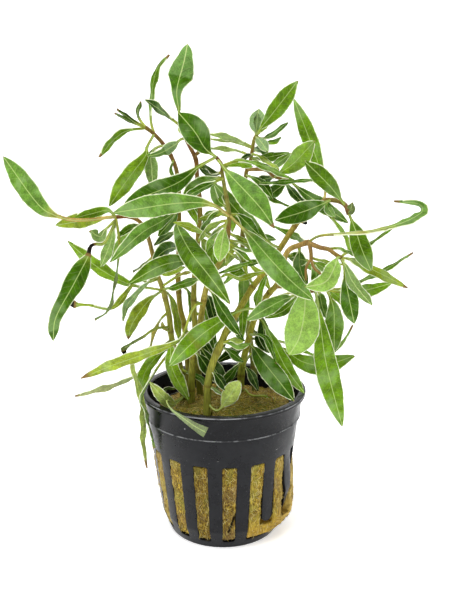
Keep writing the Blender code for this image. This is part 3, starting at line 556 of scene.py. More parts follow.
def leaf_lines(tree, mottle, cells, read, rib_half):
    """How strong the side veins, the midrib and the white edge are.

    A side vein leaves the midrib at a slant, so it is a line along which the slant is the same.
    """
    bent = add_node(tree, MATH, TIMES_PLUS, {0: mottle, 1: VEIN_BEND, 2: read["slant"]})
    beat = add_node(tree, MATH, {"operation": "PINGPONG"}, {0: bent, 1: VEIN_SPACING / 2})
    lines = add_node(tree, RANGE, SOFT, {
        "Value": beat, "From Min": 0.0, "From Max": VEIN_HALF, "To Min": 1.0, "To Max": 0.0})
    veins = add_node(tree, MATH, TIMES, {0: lines, 1: read["blade"]})
    rib = add_node(tree, RANGE, SOFT, {
        "Value": read["across"], "From Min": rib_half * 0.5, "From Max": rib_half * 1.3,
        "To Min": 0.85, "To Max": 0.0})
    ragged = add_node(tree, MATH, TIMES_PLUS, {0: cells, 1: EDGE_RAGGED, 2: read["edge"]})
    white = add_node(tree, RANGE, SOFT, {
        "Value": ragged, "From Min": WHITE_EDGE, "From Max": WHITE_EDGE * 1.7, "To Min": 0.92, "To Max": 0.0})
    return veins, rib, white


def leaf_lights(tree, place, mottle, cells, contrast, waxy):
    """How light the leaf is, by its mottle, its cells and patches of painted shade, and how strong its
    painted sheen is.
    """
    shade = add_node(tree, RANGE, SOFT, {
        "Value": mottle, "From Min": 0.3, "From Max": 0.7,
        "To Min": 1.0 - contrast, "To Max": 1.0 + contrast})
    grain = add_node(tree, RANGE, SOFT, {
        "Value": cells, "From Min": 0.3, "From Max": 0.7, "To Min": CELL_SHADES[0], "To Max": CELL_SHADES[1]})
    both = add_node(tree, MATH, TIMES, {0: shade, 1: grain})
    # Large patches: painted shade darkens some, and a pale painted sheen lies on others.
    lay = add_node(tree, NOISE, None, {"Vector": place, "Scale": 1 / (PAINTED_LIGHT_GRAIN * MM), "Detail": 2.0})
    painted_shade = add_node(tree, RANGE, SOFT, {
        "Value": lay, "From Min": PAINTED_SHADE_FROM[0], "From Max": PAINTED_SHADE_FROM[1],
        "To Min": PAINTED_SHADE_DARKNESS, "To Max": 1.0})
    painted_sheen = add_node(tree, RANGE, SOFT, {
        "Value": lay, "From Min": PAINTED_SHEEN_FROM[0], "From Max": PAINTED_SHEEN_FROM[1], "To Min": 0.0, "To Max": waxy})
    return add_node(tree, MATH, TIMES, {0: both, 1: painted_shade}), painted_sheen


def leaf_skin(name, roughness, edge_colour, rib_colour, rib_half, vein_strength, contrast, relief, waxy):
    """One side of a leaf: veins, midrib and white edge over a mottled tint, with withered places.

    Waxy is how strong the painted sheen is: pale green patches of painted highlight, with patches of painted
    shade between them.
    """
    finish, tree, shader = new_finish(name, {
        "Metallic": 0.0, "IOR": 1.42, "Specular IOR Level": 0.1, "Subsurface Weight": 0.12,
        "Subsurface Scale": 0.0004, "Subsurface Radius": (0.4, 1.0, 0.15)})
    place = add_node(tree, "ShaderNodeTexCoord").outputs["Object"]
    read = {label: add_node(tree, READ, {"attribute_name": label}).outputs["Fac"] for label in NUMBERS}
    tint = add_node(tree, READ, {"attribute_name": "tint"}).outputs["Color"]
    mottle = add_node(tree, NOISE, None, {
        "Vector": place, "Scale": 1 / (MOTTLE_GRAIN * MM), "Detail": 4.0, "Roughness": 0.6})
    cells = add_node(tree, NOISE, None, {"Vector": place, "Scale": 1 / (CELL_GRAIN * MM), "Detail": 2.0})
    veins, rib, white = leaf_lines(tree, mottle, cells, read, rib_half)
    light, painted_sheen = leaf_lights(tree, place, mottle, cells, contrast, waxy)
    veined = add_node(tree, MATH, TIMES, {0: veins, 1: vein_strength})
    colour = add_node(tree, MIX, SHADED, {0: 1.0, 6: tint, 7: light})
    # The painted sheen goes on first, then the veins, the midrib and the white edge.
    for mask, over in ((painted_sheen, PAINTED_SHEEN_COLOUR), (veined, rib_colour), (rib, rib_colour), (white, edge_colour)):
        colour = add_node(tree, MIX, COLOURS, {0: mask, 6: colour, 7: linear(over)})
    spread = add_node(tree, MATH, TIMES_PLUS, {0: mottle, 1: 0.5, 2: read["wither"]})
    colour = lay_over(tree, colour, "#846A3A", spread, BROWN_FROM, (0.0, 1.0))
    colour = lay_over(tree, colour, "#1F1C14", spread, BLACK_FROM, (0.0, 1.0))
    gloss = add_node(tree, RANGE, SOFT, {
        "Value": mottle, "From Min": 0.3, "From Max": 0.7,
        "To Min": roughness - 0.08, "To Max": roughness + 0.1})
    height = add_node(tree, MATH, TIMES_PLUS, {0: veins, 1: relief, 2: mottle})
    height = add_node(tree, MATH, TIMES_PLUS, {0: cells, 1: 0.35, 2: height})
    bump = add_node(tree, BUMP, None, {"Height": height, "Strength": 0.6, "Distance": 0.00025})
    plug_in(tree, shader, {"Base Color": colour, "Roughness": gloss, "Normal": bump})
    return finish


upper_skin = leaf_skin(
    "waxy upper leaf skin", roughness=0.4, edge_colour="#E6ECC4", rib_colour="#B4CB78", rib_half=0.13,
    vein_strength=0.12, contrast=0.3, relief=-0.8, waxy=0.3)
under_skin = leaf_skin(
    "matt under leaf skin", roughness=0.52, edge_colour="#E6ECCC", rib_colour="#BACD84", rib_half=0.17,
    vein_strength=0.16, contrast=0.2, relief=1.0, waxy=0.15)
print("leaf finishes:", upper_skin.name, "and", under_skin.name)

# %% [markdown]
# ## The skin of a stem
#
# The stems are soft and round, a little glossy, and their colour runs from olive green in the pot
# over a straw tan to red brown at the young tips, with a darker ring at each joint. Fine streaks run
# along the stem. Here the tint that each point carries gives the long run of colour, and the shader
# adds streaks, spots and a soft sheen. A plant stem's skin has an IOR near 1.4.

# %% Finish of the stems
STREAK_WIDTH = 0.35
STREAK_STRETCH = 8.0
STAIN_GRAIN = 3.0


def stem_skin():
    """Living stem, with streaks along it, olive stains and a dark ring at each joint."""
    finish, tree, shader = new_finish("living plant stem", {
        "Metallic": 0.0, "IOR": 1.4, "Specular IOR Level": 0.2, "Subsurface Weight": 0.05,
        "Subsurface Scale": 0.0006, "Subsurface Radius": (1.0, 0.8, 0.2)})
    place = add_node(tree, "ShaderNodeTexCoord").outputs["Object"]
    ring = add_node(tree, READ, {"attribute_name": "edge"}).outputs["Fac"]
    wither = add_node(tree, READ, {"attribute_name": "wither"}).outputs["Fac"]
    tint = add_node(tree, READ, {"attribute_name": "tint"}).outputs["Color"]
    fine = 1 / (STREAK_WIDTH * MM)
    long_way = add_node(tree, "ShaderNodeMapping", None, {
        "Vector": place, "Scale": (fine, fine, fine / STREAK_STRETCH)})
    streaks = add_node(tree, NOISE, None, {"Vector": long_way, "Scale": 1.0, "Detail": 3.0})
    patches = add_node(tree, NOISE, None, {"Vector": place, "Scale": 1 / (STAIN_GRAIN * MM), "Detail": 3.0})
    shade = add_node(tree, RANGE, SOFT, {
        "Value": streaks, "From Min": 0.3, "From Max": 0.7, "To Min": 0.6, "To Max": 1.06})
    colour = add_node(tree, MIX, SHADED, {0: 1.0, 6: tint, 7: shade})
    colour = lay_over(tree, colour, "#77792C", patches, (0.45, 0.75), (0.0, 0.45))
    colour = lay_over(tree, colour, "#5E3A1C", ring, (0.3, 1.0), (0.0, 0.55))
    colour = lay_over(tree, colour, "#1B1712", wither, (0.4, 1.0), (0.0, 1.0))
    gloss = add_node(tree, RANGE, SOFT, {
        "Value": patches, "From Min": 0.3, "From Max": 0.7, "To Min": 0.36, "To Max": 0.54})
    height = add_node(tree, MATH, PLUS, {0: streaks, 1: patches})
    bump = add_node(tree, BUMP, None, {"Height": height, "Strength": 0.5, "Distance": 0.00015})
    plug_in(tree, shader, {"Base Color": colour, "Roughness": gloss, "Normal": bump})
    return finish


stem_finish = stem_skin()
print("stem finish:", stem_finish.name)

# %% [markdown]
# ## The large leaves
#
# Each of the 51 large leaves is a solid of its own, so each gets a piece of its own that stands in
# for it. Its route runs from the middle of the stem to the tip, so the stalk comes out of the stem's
# skin. The list of withered places says where a leaf is brown or black.

# %% Dress the large leaves
LARGE_STATIONS = 40
USUAL_WITHER = ((1.0, 0.02, 0.7),)

# Where leaves are withered in another way than usual: (share of the length, reach, strength).
WITHERED = {
    "leaf_left_1": ((1.0, 0.02, 0.8),),
    "leaf_left_4": ((0.3, 0.045, 2.6),),
    "leaf_left_7": ((1.02, 0.1, 1.0),),
    "leaf_left_10": ((1.0, 0.07, 1.1), (0.2, 0.05, 0.5)),
    "leaf_back_left_1": ((1.0, 0.06, 1.2),),
    "leaf_front_3": ((1.0, 0.06, 1.4),),
    "leaf_front_12": ((1.0, 0.12, 0.75),),
    "leaf_low_right_1": ((1.0, 0.04, 1.1),),
    "leaf_low_right_6": ((0.72, 0.06, 0.5),),
    "leaf_low_right_13": ((1.0, 0.02, 0.3),),
    "leaf_right_1": ((0.08, 0.05, 0.6),),
}

# Leaves that fold over, and the share of the length from which they show their other side.
TURNED = {"leaf_middle_3": 0.54, "leaf_middle_2": 0.62}

# Leaves of another form than usual: (share of the length, part of the usual width).
FORMED = {
    "leaf_left_1": ((0.0, 1.0), (0.36, 1.3), (0.48, 1.25), (0.6, 1.08), (0.75, 1.0), (1.0, 1.0)),
    "leaf_middle_3": (
        (0.0, 1.0), (0.3, 0.55), (0.42, 0.6), (0.5, 0.82), (0.55, 0.98), (0.6, 0.95), (0.68, 0.84),
        (0.81, 0.72), (0.94, 0.9), (1.0, 1.0)),
    "leaf_left_4": (
        (0.0, 1.0), (0.34, 1.2), (0.42, 1.6), (0.55, 1.12), (0.62, 0.84), (0.69, 0.7), (0.84, 0.68),
        (0.93, 1.0), (1.0, 1.0)),
    "leaf_low_right_1": (
        (0.0, 1.0), (0.2, 1.3), (0.3, 1.9), (0.45, 2.0), (0.55, 1.0), (0.8, 0.8), (1.0, 0.6)),
    "leaf_middle_2": ((0.0, 1.0), (0.45, 0.88), (0.6, 0.78), (0.68, 0.45), (0.85, 0.45), (1.0, 0.6)),
    "leaf_back_left_1": ((0.0, 1.0), (0.3, 0.8), (1.0, 0.85)),
    "leaf_front_6": ((0.0, 1.0), (0.45, 1.0), (0.7, 0.86), (1.0, 0.8)),
    "leaf_front_3": ((0.0, 1.0), (0.72, 1.0), (0.84, 0.74), (0.92, 0.6), (1.0, 0.6)),
}

# Leaves: solid, width in mm, roll in degrees, share of stalk, side that is seen, look and route.
LARGE_LEAVES = [
    ("leaf_left_1", 6.2, 15, 0.36, TOP, "light",
        [(116, 217, -6), (104, 218, -8), (90, 219.5, -9), (70, 219.5, -10), (50, 213, -10), (40, 206, -9),
        (30, 194, -8), (20, 180, -6), (4, 157, -2)]),
    ("leaf_left_2", 5, 20, 0.15, TOP, "lime",
        [(116, 216, -6), (100, 218, -4), (80, 221, -2), (56, 225, 0)]),
    ("leaf_left_3", 4, -35, 0.4, UNDER, "grey",
        [(115, 220, -6), (106, 229, -9.5), (100, 237, -11), (90, 231, -13)]),
    ("leaf_left_4", 6.2, 10, 0.3, TOP, "deep",
        [(115, 222, -6), (109, 235, -7.2), (103, 244, -8.5), (95, 244, -10.5), (90, 247, -12),
        (88, 256, -13), (80, 272, -15), (71.5, 288, -16), (55.5, 318, -16), (53, 340, -14)]),
    ("leaf_left_5", 4.8, 30, 0.2, TOP, "bright",
        [(162, 290, 0), (150, 288, 1), (137, 286, 0), (118, 279, -1), (95, 265, -2), (68, 241, -3)]),
    ("leaf_left_6", 4, -30, 0.15, UNDER, "light",
        [(115, 221, -6), (113, 232, -4.5), (110, 245, -4), (101, 267, -3)]),
    ("leaf_left_7", 5, 30, 0.15, TOP, "lime",
        [(163, 290, 0), (150, 299, -3), (140, 311, -5), (131, 326, -6), (128, 339, -6)]),
    ("leaf_left_8", 4.6, 30, 0.15, TOP, "bright",
        [(172, 345, 2), (165, 350, -1), (155, 358, -3), (145, 372, -6), (138, 395, -9)]),
    ("leaf_left_9", 5, -25, 0.1, TOP, "bright",
        [(173, 343, 2), (171, 348, -3), (173, 370, -5.5), (189, 400, -6)]),
    ("leaf_left_10", 3, 45, 0.15, UNDER, "milky",
        [(170, 341, 2), (155, 351, -5), (140, 358, -9), (132, 364, -11), (137, 383, -13), (142, 402, -14),
        (143, 420, -13), (143, 440, -11), (145, 455, -10), (147, 468, -9)]),
    ("leaf_back_left_1", 4, 45, 0.15, TOP, "fresh",
        [(145, 128, 2), (125, 131, -1), (110, 143, -4), (99, 157, -6)]),
    ("leaf_back_left_2", 4.4, -20, 0.2, UNDER, "grey",
        [(164, 145, 4), (156, 148, 2.5), (151, 155, 1.5), (152, 170, 0), (153, 190, -1)]),
    ("leaf_back_left_3", 5.7, 20, 0.2, TOP, "bright",
        [(154, 134, 3), (147, 147, 1), (145, 156, -1), (133, 172, -2), (122, 187, -3), (109, 206, -3)]),
    ("leaf_back_left_4", 5, 20, 0.15, TOP, "light",
        [(179, 205, 6), (172, 214, 0), (160, 222, -4), (140, 234, -8), (110, 262, -10)]),
    ("leaf_back_left_5", 7.3, 8, 0.08, TOP, "mid",
        [(179, 222, 6), (178, 228, 0), (190, 251, -9), (210, 277, -15), (230, 304, -18)]),
    ("leaf_middle_1", 5.6, 15, 0.1, TOP, "mid",
        [(196, 260, 1), (187, 260, -3), (160, 266, -9), (128, 284, -10)]),
    ("leaf_middle_2", 5.2, 25, 0.25, UNDER, "rolled",
        [(186, 139, -3), (181, 139.5, -4), (174, 145, -6), (160, 153, -7), (147, 156, -7)]),
    ("leaf_middle_3", 8, 10, 0.12, TOP, "folded",
        [(179, 124, -4), (179, 110, -5), (177, 90, -5), (184, 62, -3), (187.5, 45, 0)]),
    ("leaf_front_1", 6.6, 15, 0.2, TOP, "light",
        [(229, 216, -13), (218, 207.5, -17), (205, 203, -18), (187, 202.5, -18.5), (165, 204.5, -18),
        (140, 208.5, -16), (114, 212.5, -13)]),
    ("leaf_front_2", 6.4, 10, 0.15, TOP, "deep",
        [(216, 157, -11), (198, 167, -12), (175, 184, -11), (125, 203, -6)]),
    ("leaf_front_3", 7.5, 8, 0.15, TOP, "light",
        [(218, 160, -11), (228, 173, -14), (248, 194, -18), (262, 210, -20), (274, 228, -19)]),
    ("leaf_front_4", 5.6, 10, 0.2, TOP, "mid",
        [(280, 248, -1), (270, 243, -4), (255, 230, -7), (240, 214, -8.5), (228, 200, -9.5),
        (214, 183, -10)]),
    ("leaf_front_5", 4.2, 30, 0.15, TOP, "deep",
        [(230, 214, -12.7), (240, 217, -11.5), (259, 236, -10.5)]),
    ("leaf_front_6", 7.7, 10, 0.15, TOP, "light",
        [(230, 216, -13), (250, 236, -16), (270, 259, -18), (290, 280, -18), (313, 300, -16)]),
    ("leaf_front_7", 4.6, 15, 0.3, UNDER, "pale", [(227, 220, -13), (223, 236, -17), (219, 262, -18)]),
    ("leaf_front_8", 4.8, 20, 0.15, TOP, "fresh",
        [(226, 224, -12), (216, 232, -9), (213, 252, -6), (213, 275, -4)]),
    ("leaf_front_9", 4.2, -25, 0.2, TOP, "fresh",
        [(227, 250, -12), (236, 257, -8), (243, 264, -4), (244, 290, -0.5), (243, 315, -0.5),
        (242, 342, 0)]),
    ("leaf_front_10", 4.3, 25, 0.1, TOP, "deep",
        [(207, 286, -9), (214, 296, -10.5), (222, 310, -11.5), (240, 336, -12)]),
    ("leaf_front_11", 7.6, 8, 0.12, TOP, "deep",
        [(216, 157, -11), (205, 148, -13), (195, 132, -14), (179, 113, -13)]),
    ("leaf_front_12", 4.3, 30, 0.25, TOP, "yellow",
        [(203, 304, -7), (197, 304, -8.5), (190, 314, -9), (184, 333, -10), (176, 342, -11),
        (150, 352, -12), (130, 359, -12), (110, 366, -11), (81, 378, -9)]),
    ("leaf_right_1", 5.6, 12, 0.2, TOP, "fresh",
        [(324, 201, 1), (325, 188, 4), (318, 163, 9), (308, 135, 13), (294, 99, 16)]),
    ("leaf_right_2", 5.7, 15, 0.1, TOP, "mid", [(345, 205, -2), (330, 186, -4), (305, 161, -5)]),
    ("leaf_right_3", 6.5, 10, 0.08, TOP, "deep", [(331, 200, 0), (305, 211, -4), (275, 220, -6)]),
    ("leaf_right_4", 6.2, 10, 0.1, TOP, "mid",
        [(349, 214, -3), (356, 232, -6), (362, 250, -7), (371, 271, -7)]),
    ("leaf_right_5", 5.9, 15, 0.36, UNDER, "milky",
        [(208, 403, -10.6), (213, 409, -12.3), (219, 410, -13.5), (226, 401, -14), (240, 381, -14)]),
    ("leaf_low_right_1", 4.6, 50, 0.45, TOP, "light",
        [(309, 242, -8), (320, 236, -10), (345, 234, -12), (370, 232, -12), (395, 226, -10),
        (412, 219, -8), (423, 211, -5), (418, 203, -3), (394, 201, -2)]),
    ("leaf_low_right_2", 4.6, 30, 0.2, TOP, "fresh",
        [(326, 289.5, -8), (340, 292, -8), (362, 291, -6), (391, 284, -3)]),
    ("leaf_low_right_3", 4.4, -40, 0.15, UNDER, "grey",
        [(342, 259, -12.5), (346, 266, -15.5), (354, 283, -17), (372, 305, -16)]),
    ("leaf_low_right_4", 5.6, 10, 0.2, TOP, "deep",
        [(341, 259, -12), (344, 266, -12.5), (346, 283, -13), (350, 303, -13), (354, 323, -12)]),
    ("leaf_low_right_5", 5.6, 15, 0.12, UNDER, "pale",
        [(340, 257, -12), (337, 259, -14), (334, 268, -17), (325, 282, -20), (305, 287, -21)]),
    ("leaf_low_right_6", 6.6, 10, 0.3, TOP, "fresh",
        [(257, 309, -1.5), (246, 309, -5), (234, 313, -8.2), (224, 319, -9), (205, 332, -11),
        (190, 345, -13), (169, 366, -16)]),
    ("leaf_low_right_7", 5, 20, 0.15, TOP, "light",
        [(298, 291, -8), (290, 297, -10), (280, 301, -12), (246, 320, -14)]),
    ("leaf_low_right_8", 10.2, 10, 0.12, UNDER, "pale",
        [(304, 291, -8), (305, 298, -12), (304, 315, -15), (299, 338, -17), (289, 355, -17)]),
    ("leaf_low_right_9", 7.4, 10, 0.1, TOP, "fresh",
        [(315, 291, -8), (317, 300, -10.5), (321, 330, -12), (327, 368, -12), (342, 426, -9)]),
    ("leaf_low_right_10", 6.5, 15, 0.1, TOP, "mid",
        [(326, 289, -8), (331, 300, -8), (334, 315, -7.5), (334, 352, -6)]),
    ("leaf_low_right_11", 6.5, 15, 0.3, TOP, "fresh",
        [(249, 338, 2.8), (265, 341, 6), (284, 350, 7), (303, 362, 6), (325, 365, 4), (355, 356, 2)]),
    ("leaf_low_right_12", 7, 10, 0.12, TOP, "deep",
        [(248, 343, 3), (255, 350, -2), (262, 360, -6), (281, 384, -12), (294, 401, -17)]),
    ("leaf_low_right_13", 5.2, 15, 0.1, TOP, "fresh",
        [(256, 318, 1), (262, 321, 0), (272, 340, -2), (286, 368, -7), (304, 393, -10)]),
    ("leaf_back_1", 5.9, 15, 0.1, TOP, "fresh",
        [(257, 135, 14), (262, 127, 12), (270, 117, 10), (284, 99, 7), (298, 81, 4)]),
    ("leaf_back_2", 6.6, 15, 0.12, TOP, "bright",
        [(275, 177, 12), (280, 173, 10.5), (293, 164, 8), (315, 141, 4)]),
    ("leaf_back_3", 4.8, 20, 0.1, TOP, "deep",
        [(290, 181, 11), (303, 192, 8), (322, 205, 6), (348, 223, 4)]),
]


def dress_large_leaves():
    """Each large leaf as a piece of its own."""
    for name, width, roll, stalk, side, look, route in LARGE_LEAVES:
        growth = Growth()
        grow_leaf(growth, [seen_at(*place) for place in route], width, roll, stalk, side, look,
                  LARGE_STATIONS, WITHERED.get(name, USUAL_WITHER), FORMED.get(name, USUAL_FORM),
                  start=LEAF_START, turned=TURNED.get(name, NOT_TURNED),
                  stalk_tint=STALK_TINT_OF.get(name, "plain"))
        put_on(growth.finished(name + "_blade", [stem_finish, upper_skin, under_skin]), "leaf", name)


dress_large_leaves()

# %% [markdown]
# ## The stems, their side shoots and their small leaves
#
# A stem of this plant is round and has a joint every centimetre or so, where the leaves sit. Each
# joint is a slight swelling with a dark ring. A plain tube would look like wire. The radius follows
# the joints, and the tint runs from olive over tan to red brown. The shoots and small leaves of one
# stem are joined to its mesh, as they are in the solid.

# %% Dress the stems
# A stem's rings, and how far apart they and the joints stand, in mm. The last joint is just below the tip.
STEM_SIDES = 14
MEASURED_POINTS = 60
FEWEST_RINGS = 6
RING_STEP = 1.1
JOINT_SPACING = 11.5
LAST_JOINT = 0.6

# A joint swells by this part of the radius, over this reach in mm. The end is a low dome.
JOINT_SWELL = 0.16
JOINT_REACH = 0.8
BETWEEN_JOINTS = 0.97
DOME_HEIGHT = 0.6

# How black the cut shoot's tip is, and from which share of its length.
STUB_BLACK = 1.2
STUB_BLACK_FROM = 0.6

# The height in the plug from which a stem is drawn, in mm, and the cross sections of a small leaf.
FOOT_HEIGHT = 35.0
SMALL_STATIONS = 24

# Stems: radius at the foot, radius at the tip and the route.
STEM_ROUTES = {
    "left": (1.3, 0.55, [
        (184, 398, 1.8), (182, 375, 2), (172, 340, 2), (169, 315, 1), (163, 290, 0), (158, 276, -1),
        (153, 256, -2), (148, 237, -3), (141, 223, -4), (130, 217, -5), (116, 217, -6)]),
    "back_left": (1.2, 0.6, [
        (190, 392, 7.5), (185, 330, 8), (180, 307, 8), (178, 272, 7), (179, 245, 6), (179, 215, 6),
        (179, 195, 6), (177, 173, 5), (172, 158, 5), (164, 145, 4), (154, 134, 3), (145, 127, 2)]),
    "middle": (1.2, 0.6, [
        (200, 393, 6.5), (196, 340, 4), (194, 309, 3), (194, 285, 2), (196, 260, 1), (199, 228, 0),
        (200, 207, -1), (197, 175, -2), (196, 160, -2), (190, 147, -3), (186, 139, -3),
        (183, 130, -4), (179, 124, -4)]),
    "front": (1.35, 0.5, [
        (191, 401, -1), (193, 358, -3), (199, 331, -5), (203, 304, -7), (207, 285, -9),
        (213, 272, -10), (221, 260, -11), (227, 240, -12), (229, 215, -13), (225, 190, -12),
        (222, 172, -11), (222, 165, -11), (216, 157, -11)]),
    "right": (1.3, 0.75, [
        (207, 412, -10.6), (208, 385, -10), (212, 365, -9), (220, 346, -8), (228, 328, -6.5),
        (240, 308, -4.5), (252, 288, -3), (262, 275, -2), (281, 247, -1), (290, 233, 0),
        (299, 221, 1), (312, 210, 1), (324, 201, 1), (331, 200, 0), (340, 201.5, -1),
        (346, 206, -2), (349, 214, -3)]),
    "low_right": (1.3, 0.8, [
        (241, 392, 7.5), (241, 375, 6), (244, 358, 5), (248, 342, 3), (254, 320, 1), (262, 303, -1),
        (270, 292, -3), (276, 286, -4), (281, 275, -5), (285, 257, -6), (290, 249, -6),
        (300, 245, -7), (309, 242, -8)]),
    "back": (1.2, 0.6, [
        (255, 390, 9.5), (253, 360, 11), (247, 320, 13), (243, 270, 14), (243, 220, 15),
        (246, 174, 15), (249, 168, 15), (252, 152, 14), (254, 140, 14), (257, 135, 14)]),
}

# Side shoots: the stem that each grows from, radius where it starts and ends, and the route.
SHOOTS = [
    ("low_right", 0.75, 0.6, [
        (275, 286, -4), (288, 287, -6), (298, 291, -8), (312, 291, -8), (326, 289, -8)]),
    ("low_right", 0.8, 0.6, [
        (307, 242, -8), (320, 247.5, -10), (328, 249, -11), (335, 254, -12), (341, 258, -12)]),
    ("low_right", 0.7, 0.5, [(310, 241, -8), (311, 253, -9), (311, 262, -10)]),
    ("low_right", 0.45, 0.35, [(311, 259, -9.6), (306, 268, -11), (306, 280, -11)]),
    ("low_right", 0.45, 0.35, [(311, 259, -9.6), (314, 268, -11), (322, 275, -12)]),
    ("low_right", 0.35, 0.3, [
        (241, 386, 7), (250, 393, 0.5), (262, 395.5, -3), (271, 396.5, -6), (273, 402, -8.5)]),
    ("back", 0.65, 0.5, [(246, 169, 15.3), (265, 170, 13), (275, 177, 12), (290, 181, 11)]),
    ("right", 0.6, 0.5, [(299, 221, 1), (303, 222, 0), (306, 223, -1)]),
    ("middle", 0.5, 0.5, [(196, 155, -2.3), (199, 152, -3)]),
]

# The cut end of a side shoot, yellow with a black tip.
STUB_END = (306, 223, -1)

# The leaf that hangs over the pot's rim was cut off square, with this share of it left.
CUT_LEAF_KEPT = 0.7
CUT_LEAF = [
    (184, 397, 1.8), (175, 401, -8), (167, 400.5, -18), (169, 406.5, -23.7), (175, 412.5, -26),
    (185, 419.5, -27), (195, 426.5, -27.4), (206, 432.5, -27.8)]

# How withered the small leaves with these tips are, and how withered the others are.
SMALL_WITHER = 0.6
SMALL_WITHER_REACH = 0.05
TIP_WITHER = {
    (117, 109): 1.5, (115, 113): 1.5, (141, 102): 1.5, (169.5, 55): 1.2, (66, 300): 12.0, (126, 356): 12.0,
    (75, 396): 0.8, (396, 226): 1.4, (407, 288): 1.4, (413, 253): 1.4, (206, 432.5): 0.0, (150, 382.5): 0.0,
    (133, 272): 0.9, (353, 325): 1.3,
}

# Small leaves with these tips have another form: (share of the length, part of the usual width).
TIP_FORM = {
    (66, 300): ((0.0, 1.0), (0.45, 1.1), (0.56, 0.7), (0.62, 0.35), (0.86, 0.35), (0.93, 2.2), (1.0, 1.5)),
    (206, 432.5): ((0.0, 1.0), (0.6, 0.5), (0.75, 0.6), (0.88, 0.86), (1.0, 1.02)),
    (126, 356): ((0.0, 1.0), (0.78, 1.0), (0.88, 2.2), (1.0, 2.0)),
    (259, 109): ((0.0, 1.2), (1.0, 1.3)),
    (117, 109): ((0.0, 1.0), (0.3, 0.8), (1.0, 0.7)),
    (115, 113): ((0.0, 1.0), (0.3, 0.8), (1.0, 0.7)),
}

